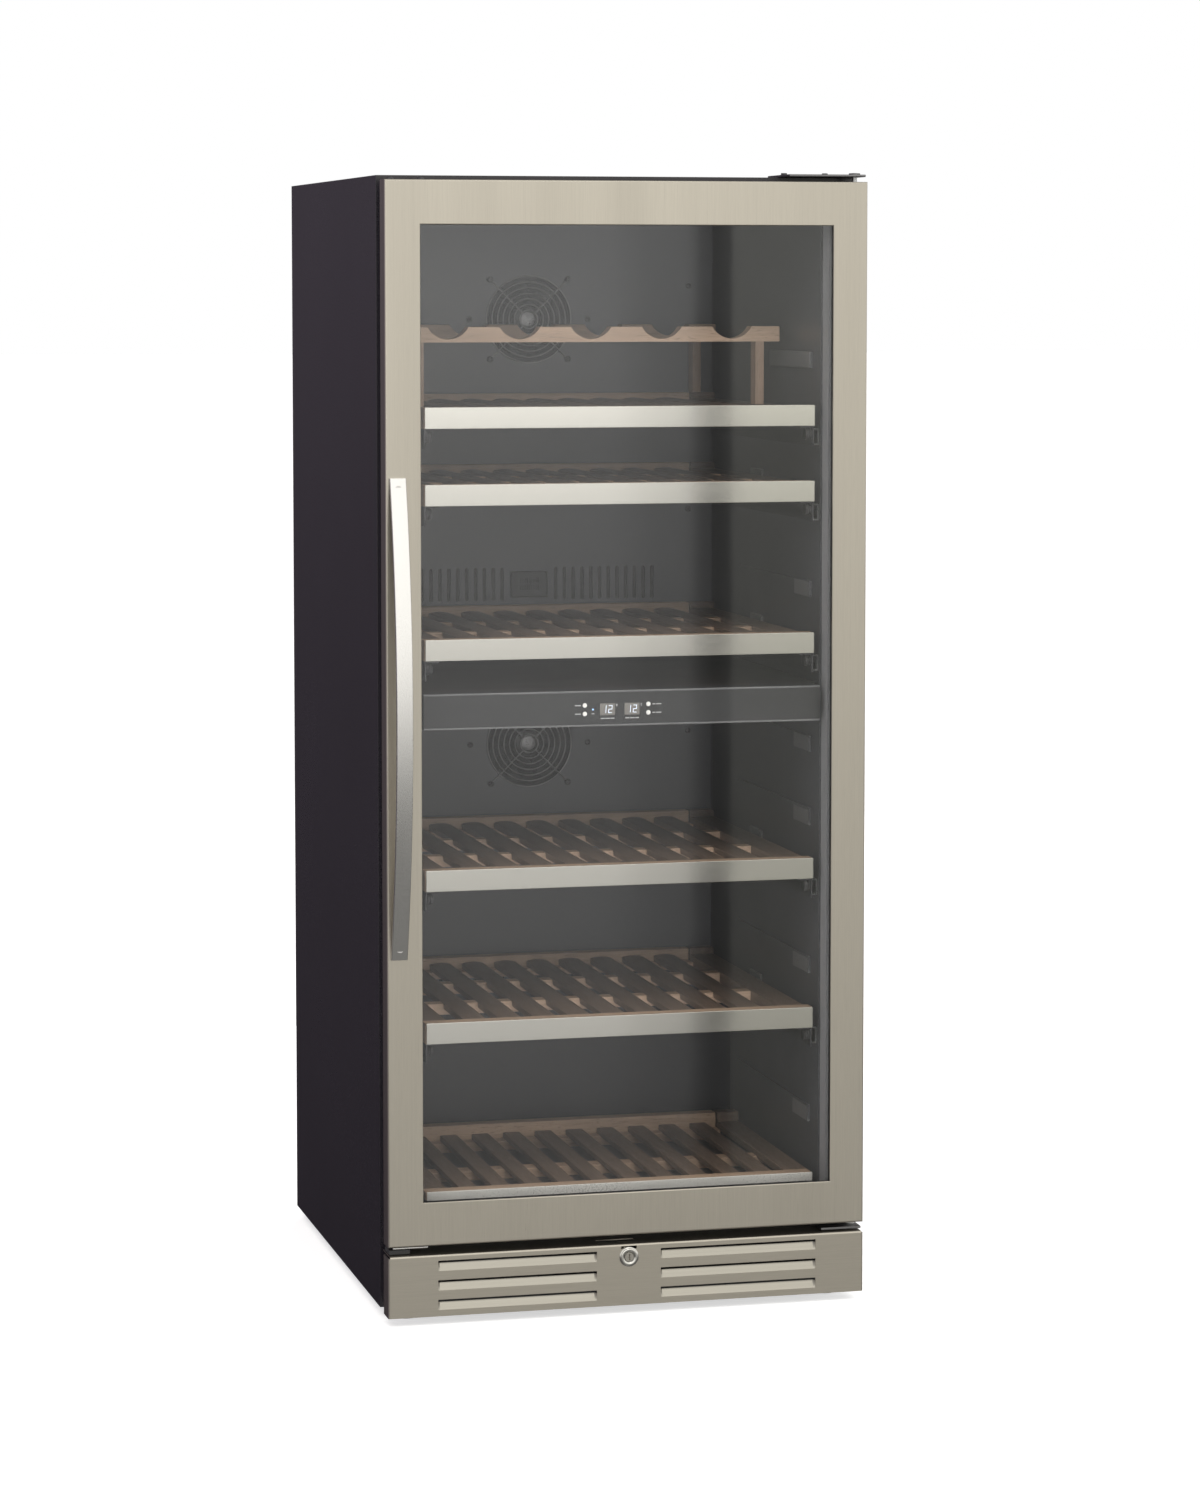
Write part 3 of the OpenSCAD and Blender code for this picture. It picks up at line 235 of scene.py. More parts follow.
easing = {"merge": 2e-6, "flat": 0.6, "sharp": 30, "edge": 35, "segments": 2}


def easedCopy(node, body, width, material):
    # the node's own shape with its points merged, its flat faces joined and its edges eased
    s = easing
    work = bmesh.new()
    work.from_mesh(nodes[node].data)
    bmesh.ops.remove_doubles(work, verts=work.verts, dist=s["merge"])
    bmesh.ops.dissolve_limit(work, angle_limit=math.radians(s["flat"]), verts=work.verts, edges=work.edges)
    mesh = bpy.data.meshes.new(node + "Eased")
    work.to_mesh(mesh)
    work.free()
    mesh.shade_smooth()
    mesh.set_sharp_from_angle(angle=math.radians(s["sharp"]))
    mesh.materials.append(material)
    piece = bpy.data.objects.new(node + "Eased", mesh)
    bpy.context.scene.collection.objects.link(piece)
    bevel = piece.modifiers.new("edges", "BEVEL")
    bevel.width, bevel.segments = width, s["segments"]
    bevel.limit_method, bevel.angle_limit = "ANGLE", math.radians(s["edge"])
    bevel.use_clamp_overlap, bevel.harden_normals = True, False
    evenShading(piece)
    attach(piece, body)
    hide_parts(node)
    return piece


# materials


def putSocket(tree, node, socket, value):
    # a link where the value is a socket, otherwise a plain number or colour
    target = node.inputs[socket]
    if isinstance(value, bpy.types.NodeSocket):
        tree.links.new(value, target)
    elif target.type == "RGBA" and len(value) == 3:
        target.default_value = (*value, 1)
    else:
        target.default_value = value


def addNode(tree, kind, inputs=(), **settings):
    node = tree.nodes.new(kind)
    for key, value in settings.items():
        setattr(node, key, value)
    for socket, value in dict(inputs).items():
        putSocket(tree, node, socket, value)
    return node


class Look:
    # a material being made: its nodes, its shader and the object coordinates that its patterns read
    def __init__(self, name, **sockets):
        self.material = bpy.data.materials.new(name)
        self.material.use_nodes = True
        self.tree = self.material.node_tree
        self.shader = self.tree.nodes["Principled BSDF"]
        self.place = self.add("ShaderNodeTexCoord").outputs["Object"]
        for socket, value in sockets.items():
            self.put(self.shader, socket, value)

    def put(self, node, socket, value):
        putSocket(self.tree, node, socket, value)

    def add(self, kind, inputs=(), **settings):
        return addNode(self.tree, kind, inputs, **settings)

    def scaled(self, scale, turn=(0, 0, 0)):
        return self.add("ShaderNodeMapping", {"Vector": self.place, "Scale": scale, "Rotation": turn}).outputs["Vector"]

    def noise(self, scale, detail=3.0, rough=0.5, warp=0.0):
        return self.add("ShaderNodeTexNoise", {"Vector": self.scaled(scale), "Scale": 1.0, "Detail": detail,
                                               "Roughness": rough, "Distortion": warp}).outputs["Fac"]

    def spread(self, value, low, high, fromLow=0.3, fromHigh=0.7):
        return self.add("ShaderNodeMapRange", {"Value": value, "From Min": fromLow, "From Max": fromHigh,
                                               "To Min": low, "To Max": high}).outputs["Result"]

    def mixed(self, factor, first, second):
        return self.add("ShaderNodeMix", {0: factor, 6: first, 7: second}, data_type="RGBA").outputs[2]

    def summed(self, first, second):
        return self.add("ShaderNodeMath", {0: first, 1: second}, operation="ADD").outputs[0]

    def bumped(self, height, strength, distance, before=None):
        inputs = {"Height": height, "Strength": strength, "Distance": distance}
        if before is not None:
            inputs["Normal"] = before
        return self.add("ShaderNodeBump", inputs).outputs["Normal"]


def patterned(name, colour, tone, rough, grain=(900, 900, 900), cloud=6.0, spread=0.05, bump=0.15, lift=0.04 * mm,
              **sockets):
    # a fine grain and a broad cloud move the colour and the roughness, and the grain lifts the surface
    cloudShare, cloudShade = 0.35, 0.82
    look = Look(name, **sockets)
    fine = look.noise(grain, 4.0, 0.6)
    broad = look.noise((cloud, cloud, cloud), 3.0, 0.5, 0.4)
    tinted = look.mixed(look.spread(fine, 0, 1), colour, tone)
    clouded = look.mixed(look.spread(broad, 0.0, cloudShare), tinted, tuple(cloudShade * c for c in colour))
    look.put(look.shader, "Base Color", clouded)
    sheen = look.summed(look.spread(fine, -spread, spread),
                        look.spread(broad, rough - spread * 0.6, rough + spread * 0.6))
    look.put(look.shader, "Roughness", sheen)
    look.put(look.shader, "Normal", look.bumped(fine, bump, lift))
    return look.material


hairLines = {"hair": 5200, "streak": 900, "band": 22, "stretch": 0.006, "streakShare": 0.5, "bandShare": 0.12}


def brushed(name, colour, rough, upright=True, contrast=0.10, bump=0.12, spread=0.05, **sockets):
    # long hair lines along the grain, a coarser set under them, and slow bands across the sheet
    look = Look(name, Metallic=1.0, **sockets)
    s = hairLines
    stretch = (1.0, 1.0, s["stretch"]) if upright else (s["stretch"], 1.0, 1.0)
    hair = look.noise(tuple(s["hair"] * part for part in stretch), 3.0, 0.65)
    streak = look.noise(tuple(s["streak"] * part * (0.5 if part < 0.1 else 1) for part in stretch), 2.0, 0.5)
    band = look.noise(tuple(s["band"] * max(part, 0.05) for part in stretch), 2.0, 0.4)
    light = tuple(min(1.0, c * (1 + contrast)) for c in colour)
    dark = tuple(c * (1 - contrast) for c in colour)
    tone = look.mixed(look.spread(hair, 0, 1), dark, light)
    tone = look.mixed(look.spread(streak, 0, s["streakShare"]), tone, light)
    tone = look.mixed(look.spread(band, 0, s["bandShare"]), tone, dark)
    look.put(look.shader, "Base Color", tone)
    sheen = look.summed(look.spread(hair, -spread, spread),
                        look.spread(band, rough - 0.4 * spread, rough + 0.6 * spread))
    look.put(look.shader, "Roughness", sheen)
    look.put(look.shader, "Normal", look.bumped(hair, bump, 0.02 * mm))
    return look.material


beech = {"bands": 95, "pores": 1500, "fleckAlong": 110, "fleckAcross": 850, "cloud": 7, "stretch": 0.05}


def timber(name, along, pale, dark, rough=0.5):
    # growth bands stretched along the board, fine pores and the short dark flecks of beech
    look = Look(name, **{"Coat Weight": 0.12, "Coat Roughness": 0.35})
    s, isAlong = beech, np.arange(3) == along
    stretch = np.where(isAlong, s["stretch"], 1.0)
    bands = look.noise(tuple(s["bands"] * stretch), 3.0, 0.55, 0.6)
    pores = look.noise(tuple(s["pores"] * stretch * np.where(isAlong, 0.7, 1.0)), 2.0, 0.6)
    fleck = look.noise(tuple(np.where(isAlong, s["fleckAlong"], s["fleckAcross"])), 1.0, 0.4)
    broad = look.noise((s["cloud"],) * 3, 2.0, 0.5)
    tone = look.mixed(look.spread(bands, 0, 1, 0.32, 0.68), pale, dark)
    tone = look.mixed(look.spread(pores, 0, 0.35, 0.45, 0.7), tone, tuple(0.55 * c for c in dark))
    tone = look.mixed(look.spread(fleck, 0, 0.55, 0.66, 0.72), tone, tuple(0.4 * c for c in dark))
    tone = look.mixed(look.spread(broad, 0, 0.3), tone, tuple(0.75 * c for c in pale))
    look.put(look.shader, "Base Color", tone)
    look.put(look.shader, "Roughness", look.spread(pores, rough - 0.06, rough + 0.1))
    look.put(look.shader, "Normal", look.bumped(bands, 0.1, 0.3 * mm, look.bumped(pores, 0.2, 0.05 * mm)))
    return look.material


def paneGlass(name, tint, shine):
    # flat float glass: nearly all of it lets light straight through, a small even share mirrors the room,
    # and the faintest film of handling tints the mirrored share and moves its sharpness
    look = Look(name, Metallic=1.0, Alpha=shine)
    film = look.noise((9, 9, 5), 3.0, 0.6, 0.8)
    look.put(look.shader, "Base Color", look.mixed(look.spread(film, 0, 0.3), tint, tuple(0.9 * c for c in tint)))
    look.put(look.shader, "Roughness", look.spread(film, 0.006, 0.014))
    return look.material


def glowing(name, colour, strength, around):
    # lit ink whose light is a little uneven
    look = Look(name, Roughness=0.4, **{"Emission Strength": strength})
    cells = look.noise((1400, 1400, 1400), 1.0, 0.4)
    look.put(look.shader, "Base Color", look.mixed(look.spread(cells, 0, 0.3), around, colour))
    look.put(look.shader, "Emission Color", look.mixed(look.spread(cells, 0, 0.4), colour,
                                                       tuple(0.7 * c for c in colour)))
    return look.material


doorSteel = brushed("brushedDoorSteel", (0.56, 0.525, 0.46), 0.34)
kickSteel = brushed("brushedKickSteel", (0.54, 0.505, 0.442), 0.36, upright=False)
# the vanes are the kick plate's steel painted about a fifth darker, painted shade for vanes that sit back behind the
# slots' upper edges
shadedVaneSteel = brushed("brushedVaneSteelPaintedShade", (0.43, 0.41, 0.365), 0.32, upright=False)
handleSteel = brushed("satinHandleSteel", (0.74, 0.735, 0.73), 0.27, contrast=0.05)
stripSteel = brushed("stripSteel", (0.66, 0.65, 0.61), 0.04, upright=False, contrast=0.02, bump=0.01, spread=0.012)
baseStripSteel = patterned("baseStripSteel", (0.62, 0.61, 0.575), (0.70, 0.69, 0.655), 0.3, Metallic=0.35,
                           grain=(600, 600, 600), bump=0.03)
hingeSteel = patterned("hingePlateSteel", (0.22, 0.22, 0.23), (0.30, 0.30, 0.31), 0.38, Metallic=1.0, bump=0.1)
zincSteel = patterned("zincPlate", (0.55, 0.56, 0.57), (0.66, 0.67, 0.68), 0.3, Metallic=1.0, cloud=60)
darkScrew = patterned("blackedScrew", (0.05, 0.05, 0.055), (0.09, 0.09, 0.095), 0.35, Metallic=0.6)
chrome = patterned("lockChrome", (0.72, 0.71, 0.68), (0.80, 0.79, 0.76), 0.14, Metallic=1.0, grain=(600, 600, 600),
                   spread=0.03, bump=0.05)
lockFace = brushed("lockFaceSteel", (0.50, 0.48, 0.44), 0.3, upright=False)
galvanised = patterned("galvanisedSheet", (0.52, 0.53, 0.54), (0.62, 0.63, 0.64), 0.42, Metallic=0.9,
                       grain=(160, 160, 160), cloud=14, spread=0.08)
blackSheet = patterned("blackSheet", (0.018, 0.018, 0.02), (0.03, 0.03, 0.032), 0.5, grain=(700, 700, 700))
shellPaint = patterned("shellPaint", (0.0095, 0.0078, 0.0115), (0.0135, 0.0115, 0.016), 0.30, grain=(420, 420, 420),
                       cloud=2.0,
                       spread=0.03, bump=0.12, lift=0.06 * mm, **{"Coat Weight": 0.25, "Coat Roughness": 0.2})
linerPlastic = patterned("linerPlastic", (0.056, 0.058, 0.064), (0.068, 0.070, 0.078), 0.36, grain=(520, 520, 520),
                         bump=0.08)
coverPlastic = patterned("coverPlastic", (0.124, 0.130, 0.146), (0.142, 0.148, 0.166), 0.34, grain=(520, 520, 520),
                         bump=0.08)
doorPlastic = patterned("doorLinerPlastic", (0.25, 0.252, 0.262), (0.29, 0.292, 0.302), 0.4, grain=(500, 500, 500))
dividerPlastic = patterned("dividerPlastic", (0.026, 0.0265, 0.028), (0.034, 0.0345, 0.036), 0.42,
                           grain=(900, 900, 900), bump=0.05)
fasciaPlastic = patterned("fasciaPlastic", (0.020, 0.0205, 0.022), (0.027, 0.0275, 0.029), 0.38,
                          grain=(900, 900, 900), bump=0.05)
lipPlastic = patterned("lipPlastic", (0.12, 0.121, 0.125), (0.15, 0.151, 0.155), 0.32)
sensorPlastic = patterned("sensorPlastic", (0.055, 0.056, 0.06), (0.07, 0.071, 0.076), 0.4)
fanPlastic = patterned("fanPlastic", (0.018, 0.018, 0.019), (0.03, 0.03, 0.032), 0.28)
hubLabel = patterned("hubFoil", (0.16, 0.16, 0.17), (0.24, 0.24, 0.25), 0.3, Metallic=0.85, grain=(300, 300, 300),
                     cloud=90)
guardWire = patterned("guardWire", (0.30, 0.30, 0.31), (0.42, 0.42, 0.43), 0.3, Metallic=1.0)
buttonPearl = patterned("buttonPearl", (0.82, 0.81, 0.78), (0.90, 0.89, 0.87), 0.25,
                        **{"Coat Weight": 0.6, "Coat Roughness": 0.08})
labelInk = glowing("labelInk", (0.62, 0.63, 0.65), 0.05, (0.4, 0.4, 0.4))
digitInk = glowing("digitInk", (0.72, 0.82, 1.0), 0.75, (0.5, 0.55, 0.6))
dotInk = glowing("dotInk", (0.35, 0.55, 1.0), 1.6, (0.2, 0.3, 0.5))
displayLens = patterned("displayLens", (0.17, 0.162, 0.148), (0.195, 0.186, 0.17), 0.12,
                        **{"Coat Weight": 0.5, "Coat Roughness": 0.04})
lampLens = patterned("lampDiffuser", (0.80, 0.82, 0.84), (0.88, 0.90, 0.92), 0.45, grain=(1200, 1200, 1200), bump=0.3)
sealRubber = patterned("sealRubber", (0.016, 0.016, 0.017), (0.026, 0.026, 0.027), 0.62, grain=(1100, 1100, 1100),
                       bump=0.25)
spacerBlack = patterned("spacerBlack", (0.010, 0.010, 0.011), (0.016, 0.016, 0.017), 0.45)
bushNylon = patterned("bushNylon", (0.70, 0.70, 0.68), (0.78, 0.78, 0.76), 0.4)
footPlastic = patterned("footPlastic", (0.022, 0.022, 0.023), (0.034, 0.034, 0.035), 0.5)
foamBuff = patterned("foamBuff", (0.62, 0.52, 0.28), (0.72, 0.62, 0.36), 0.85, grain=(420, 420, 420), bump=0.6,
                     lift=0.4 * mm)
coilAluminium = patterned("coilAluminium", (0.62, 0.63, 0.64), (0.74, 0.75, 0.76), 0.32, Metallic=1.0)
compressorBlack = patterned("compressorEnamel", (0.012, 0.012, 0.013), (0.02, 0.02, 0.021), 0.22,
                            **{"Coat Weight": 0.4, "Coat Roughness": 0.12})
mountRubber = patterned("mountRubber", (0.02, 0.02, 0.02), (0.032, 0.032, 0.032), 0.7, bump=0.35)
copper = patterned("copperPipe", (0.72, 0.36, 0.20), (0.80, 0.45, 0.27), 0.3, Metallic=1.0, grain=(260, 260, 260),
                   cloud=30)
trayPlastic = patterned("trayPlastic", (0.05, 0.053, 0.058), (0.065, 0.068, 0.073), 0.45)
boardGreen = patterned("boardGreen", (0.012, 0.09, 0.035), (0.02, 0.12, 0.05), 0.4, grain=(240, 240, 240))
clearGlass = paneGlass("clearPane", (0.93, 0.94, 0.96), 0.010)
greyGlass = paneGlass("greyPane", (0.90, 0.92, 0.96), 0.032)
# the boards and crosspieces across each shelf are the slats' beech painted about three times paler, a painted lift of
# light for crosspieces that sit in shade
paintedLitShelfWood = timber("beechAcrossPaintedLight", 0, (0.52, 0.365, 0.255), (0.40, 0.275, 0.19))
shelfWoodY = timber("beechFrontToBack", 1, (0.175, 0.124, 0.092), (0.12, 0.084, 0.062))
railWoodX = timber("beechRail", 0, (0.56, 0.40, 0.285), (0.46, 0.325, 0.23))
postWoodZ = timber("beechPost", 2, (0.40, 0.28, 0.205), (0.31, 0.215, 0.155))
print("materials made", len(bpy.data.materials))

# CAD nodes that keep their own shape
plainNodes = {
    "rear_panel": galvanised, "base_frame": blackSheet, "insulation": foamBuff, "evaporators": coilAluminium,
    "glass_outer": greyGlass, "glass_inner": clearGlass, "glass_spacer": spacerBlack, "control_board": boardGreen,
    "lock_cam": zincSteel, "hinge_pins": zincSteel, "hinge_bushes": bushNylon, "handle_screws": zincSteel,
    "compressor": compressorBlack, "compressor_mounts": mountRubber, "condenser": coilAluminium,
              "drip_tray": trayPlastic,
    "refrigerant_pipes": copper, "power_inlet": footPlastic, "evaporator_covers": coverPlastic,
              "inner_liner": linerPlastic,
    "fan_housings": fanPlastic, "sensor_covers": sensorPlastic,
}
for name, material in plainNodes.items():
    nodes[name].data.materials.clear()
    nodes[name].data.materials.append(material)
for name in ("glass_outer", "glass_inner"):
    nodes[name].visible_shadow = False  # lamps reach the shelves through the panes

# places that several pieces share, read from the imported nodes
skinLow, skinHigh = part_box("door_frame")
doorFace = skinLow.y
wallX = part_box("runner_rails")[1].x
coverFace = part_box("evaporator_covers")[0].y

easedCopy("cabinet_shell", "cabinet", 0.0009, shellPaint)
easedCopy("door_liner", "door", 0.0008, doorPlastic)
easedCopy("zone_divider", "cabinet", 0.0012, dividerPlastic)
easedCopy("control_fascia", "cabinet", 0.0004, fasciaPlastic)
easedCopy("runner_rails", "cabinet", 0.0003, zincSteel)
easedCopy("lamp_strips", "cabinet", 0.0012, lampLens)
easedCopy("bottom_hinge", "cabinet", 0.0006, hingeSteel)
print("eased copies made")

# the door: folded steel skin, seal and bowed handle

doorSkin = {"outer": 2.2 * mm, "inner": 1.1 * mm, "sheet": 1.2 * mm, "stile": 43.2 * mm, "rail": 53 * mm, "steps": 5}


def doorSection(s):
    # outer side, a quarter turn onto the face, the face, a small turn at the opening,
    # then the sheet's inside back again
    turn = np.linspace(0, np.pi / 2, s["steps"])
    rows = [(0, skinHigh.y)]
    rows += list(zip(s["outer"] * (1 - np.cos(turn)), doorFace + s["outer"] * (1 - np.sin(turn))))
    rows += list(zip(s["stile"] - s["inner"] + s["inner"] * np.sin(turn), doorFace + s["inner"] * (1 - np.cos(turn))))
    rows += [(s["stile"], doorFace + s["sheet"]), (s["sheet"], doorFace + s["sheet"]), (s["sheet"], skinHigh.y)]
    rows = np.array(rows)
    extra = (s["rail"] - s["stile"]) * np.clip(rows[:, 0] / s["stile"], 0, 1) * (rows[:, 0] > 5 * mm)
    return np.stack([rows[:, 0], rows[:, 1], rows[:, 0] + extra], -1)


camLow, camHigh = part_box("lock_cam")
camRoom = {"side": 3 * mm, "front": 2.2 * mm, "plate": 3.5 * mm}
keeper = (camLow.x - camRoom["side"], camHigh.x + camRoom["side"], camLow.y - camRoom["front"])
makePiece("doorSkin", [frameLoft(doorSection(doorSkin), skinHigh.x, skinLow.z, skinHigh.z, keeper)],
          "door", doorSteel, ["door_frame"])

sealLow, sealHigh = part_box("door_gasket")
seal = {"width": 20 * mm, "fold": 1.8 * mm, "folds": 3}


def sealSection(s):
    # a magnet bulb at the back, and bellows that wave in and out on the way to the door
    depth = sealHigh.y - sealLow.y
    t = np.linspace(0, 1, 13)
    wave = s["fold"] * (0.5 - 0.5 * np.cos(2 * np.pi * s["folds"] * t)) * (t < 0.9)
    outer = np.stack([wave, sealLow.y + depth * t], -1)
    inner = np.stack([s["width"] - wave, sealLow.y + depth * t], -1)[::-1]
    rows = np.concatenate([outer, inner])
    return np.stack([rows[:, 0], rows[:, 1], rows[:, 0]], -1)


makePiece("doorSeal", [frameLoft(sealSection(seal), sealHigh.x, sealLow.z, sealHigh.z)], "door", sealRubber,
          ["door_gasket"], 50)

handleLow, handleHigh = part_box("door_handle")
handle = {"thick": 5 * mm, "round": 0.9 * mm, "rings": 90, "endSink": 0.5 * mm, "backGap": 0.05 * mm, "boss": 5.5 * mm,
          "bossL": 7.4 * mm, "collar": 0.8 * mm, "screwIn": 14 * mm}


def handleStrip(s):
    # level rounded sections whose front and back follow two circles about one centre
    half, middle = (handleHigh.z - handleLow.z) / 2, (handleHigh.z + handleLow.z) / 2
    bow = doorFace - handleLow.y - s["thick"] + s["endSink"]
    reach = (half * half + bow * bow) / (2 * bow)
    centre = handleLow.y + reach
    z = np.linspace(-half, half, s["rings"])
    front = centre - np.sqrt(reach ** 2 - z ** 2)
    back = np.minimum(centre - np.sqrt((reach - s["thick"]) ** 2 - z ** 2), doorFace - s["backGap"])
    width, depth = (handleHigh.x - handleLow.x) / 2, (back - front) / 2
    corner = roundedLoop(width, s["thick"] / 2, s["round"], 5)
    x = (handleHigh.x + handleLow.x) / 2 + corner[:, 0]
    share = corner[:, 1] / (s["thick"] / 2)
    rings = np.zeros((len(z), len(x), 3))
    rings[..., 0] = x
    rings[..., 1] = ((front + back) / 2)[:, None] + depth[:, None] * share
    rings[..., 2] = (middle + z)[:, None]
    return loft(rings)


boss, length, flange = handle["boss"], handle["bossL"], handle["boss"] + handle["collar"]
bossProfile = [(boss - 0.6 * mm, -length), (boss, 0.8 * mm - length), (boss, -1.2 * mm), (flange, -0.5 * mm),
               (flange, 0)]
bosses = [lathe(bossProfile, ((handleHigh.x + handleLow.x) / 2, doorFace, z), 1, 32)
          for z in (handleLow.z + handle["screwIn"], handleHigh.z - handle["screwIn"])]
makePiece("doorHandle", [handleStrip(handle)] + bosses, "door", handleSteel, ["door_handle"])
print("door made")

# five sliding shelves, the bottom shelf and the display rack

shelf = {"slats": 9, "slatW": 28 * mm, "pitch": 43.5 * mm, "slatLow": 12 * mm, "slatHigh": 2.2 * mm, "crown": 2.2 * mm,
         "board": 34 * mm, "front": 22 * mm, "rear": 18 * mm, "rearUp": 4 * mm, "cross": 20 * mm,
         "crossShares": (0.36, 0.667),
         "crossLow": 19 * mm, "crossHigh": 5.2 * mm, "stripHalf": 242.75 * mm, "runnerIn": 3 * mm}


def crownedSlat(x0, x1, y0, y1, z0, z1, crown):
    # a flat underside and a top that rises on half a sine towards the middle; the ends are eased down
    t = np.linspace(0, 1, 9)
    top = z1 - crown + crown * np.sin(np.pi * t) ** 0.8
    x = np.concatenate([x0 + (x1 - x0) * t, [x1 - 0.8 * mm, x0 + 0.8 * mm]])
    z = np.concatenate([top, [z0, z0]])
    rings = []
    for y, ease in ((y0, 1), (y0 + 1.2 * mm, 0), (y1 - 1.2 * mm, 0), (y1, 1)):
        rings.append(np.stack([x, np.full(len(x), y), np.minimum(z, z1 - ease * 0.9 * mm)], -1))
    return loft(rings)


def shelfWood(s, woodX, y0, y1, z0, z1):
    # boards across the front and back, side boards, crowned slats and the two crosspieces they are let into
    between, rearY, rearTop = woodX - s["board"], y1 - s["rear"], z1 + s["rearUp"]
    across = [roundBlock((-woodX, y0, z0), (woodX, y0 + s["front"], z1 - 0.5 * mm), 1.2 * mm),
              roundBlock((-between + 1 * mm, rearY, z1 - 20 * mm), (between - 1 * mm, y1, rearTop), 1.5 * mm),
              roundBlock((-between, rearY - 20 * mm, z1 - 21 * mm), (between, rearY + 1 * mm, z1 - s["slatLow"]),
                         1 * mm)]
    for share in s["crossShares"]:
        y = y0 + share * (y1 - y0)
        across.append(roundBlock((-between - 2 * mm, y - s["cross"] / 2, z1 - s["crossLow"]),
                                 (between + 2 * mm, y + s["cross"] / 2, z1 - s["crossHigh"]), 0.8 * mm))
    lengthways = []
    for side in (-1, 1):
        inner, outer = side * between, side * woodX
        lengthways.append(roundBlock((inner, y0 + s["front"] + 0.3 * mm, z0 + 5 * mm),
                                     (outer, rearY - 0.3 * mm, z1 - 4 * mm), 1.5 * mm))
        lengthways.append(roundBlock((inner, rearY, z0 + 5 * mm), (outer, y1, rearTop), 1.5 * mm))
    for i in range(s["slats"]):
        x = (i - (s["slats"] - 1) / 2) * s["pitch"]
        lengthways.append(crownedSlat(x - s["slatW"] / 2, x + s["slatW"] / 2, y0 + s["front"] - 0.5 * mm,
                                      rearY - 0.4 * mm,
                                      z1 - s["slatLow"], z1 - s["slatHigh"], s["crown"]))
    return across, lengthways


def shelfRunner(x, y0, y1, z0):
    # the steel angle under the shelf, its foot turned in, and the bar that slides in the channel
    leg = roundBlock((x - 2 * mm, y0, z0 - 24 * mm), (x, y1, z0), 0.5 * mm)
    foot = roundBlock((x - 18 * mm, y0, z0 - 2 * mm), (x - 0.5 * mm, y1, z0), 0.5 * mm)
    bar = roundBlock((x - 2 * mm, y0 + 20.5 * mm, z0 - 20 * mm), (x + 5.25 * mm, y1, z0 - 8 * mm), 0.8 * mm)
    return [leg, foot, bar]


def shelfKnob(x, y0, z0):
    # a grooved black knob on the inner side of the runner's front end
    profile = np.array([(5.6, -8.2), (7.0, -7.6), (7.4, -6.4), (7.4, -4.6), (6.6, -4.1), (6.6, -3.5), (7.4, -3.0),
                        (7.4, -1.2), (6.6, 0)])
    return lathe(profile * mm, (x - 2 * mm, y0 + 8 * mm, z0 - 9.5 * mm), 0, 28)


bodyNames = ["shelf_one", "shelf_two", "shelf_three", "shelf_four", "shelf_five"]
for index, body in enumerate(bodyNames, 1):
    woodLow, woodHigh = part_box(f"shelf_{index}")
    metalLow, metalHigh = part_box(f"shelf_{index}_metal")
    topZ = woodHigh.z - shelf["rearUp"]
    across, lengthways = shelfWood(shelf, woodHigh.x, woodLow.y, woodHigh.y, woodLow.z, topZ)
    makePiece(f"shelfBoards{index}", across, body, paintedLitShelfWood, [f"shelf_{index}"])
    makePiece(f"shelfSlats{index}", lengthways, body, shelfWoodY, [f"shelf_{index}"], 40)
    stripX, runnerY = shelf["stripHalf"], woodLow.y + shelf["runnerIn"]
    strip = roundBlock((-stripX, metalLow.y, woodLow.z), (stripX, woodLow.y, topZ), 0.7 * mm, 3)
    makePiece(f"shelfStrip{index}", [strip], body, stripSteel, [f"shelf_{index}_metal"])
    runner = shelfRunner(stripX, runnerY, metalHigh.y, woodLow.z)
    runner += [mirrored(part) for part in runner]
    makePiece(f"shelfRunner{index}", runner, body, darkScrew, [f"shelf_{index}_metal"])
    knob = shelfKnob(stripX, runnerY, woodLow.z)
    makePiece(f"shelfKnobs{index}", [knob, mirrored(knob)], body, footPlastic)

baseLow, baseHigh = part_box("bottom_shelf")
baseStripLow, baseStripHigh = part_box("bottom_shelf_strip")
baseShelf = {"slats": 10, "slatW": 22 * mm, "pitch": 41.6 * mm, "board": 30 * mm, "front": 24 * mm, "rear": 20 * mm,
             "rearUp": 12 * mm, "rib": 24 * mm, "ribShare": 0.44, "ribIn": 2.5 * mm}


def bottomWood(s, woodX, y0, y1, z0, z1, floorZ):
    # thin flat slats on two ribs, between a front board and a raised rear board
    between, rearY, rearTop = woodX - s["board"], y1 - s["rear"], z1 + s["rearUp"]
    ribY, ribTop = y0 + s["ribShare"] * (y1 - y0), z0 + s["ribIn"]
    across = [roundBlock((-woodX, y0, z0), (woodX, y0 + s["front"], z1), 1.2 * mm),
              roundBlock((-between + 1 * mm, rearY, z0), (between - 1 * mm, y1, rearTop), 1.5 * mm),
              roundBlock((-between, rearY - 20 * mm, floorZ), (between, rearY + 1 * mm, ribTop), 1 * mm),
              roundBlock((-woodX + 1 * mm, ribY - s["rib"] / 2, floorZ),
                         (woodX - 1 * mm, ribY + s["rib"] / 2, ribTop), 1 * mm)]
    lengthways = []
    for side in (-1, 1):
        inner, outer = side * between, side * woodX
        lengthways.append(roundBlock((inner, y0 + s["front"] + 0.3 * mm, z0), (outer, rearY - 0.3 * mm, z1), 1.2 * mm))
        lengthways.append(roundBlock((inner, rearY, z0), (outer, y1, rearTop), 1.2 * mm))
    for i in range(s["slats"]):
        x = (i - (s["slats"] - 1) / 2) * s["pitch"]
        lengthways.append(roundBlock((x - s["slatW"] / 2, y0 + s["front"] - 1 * mm, z0 + 2 * mm),
                                     (x + s["slatW"] / 2, rearY - 0.2 * mm, z1), 1.2 * mm))
    return across, lengthways


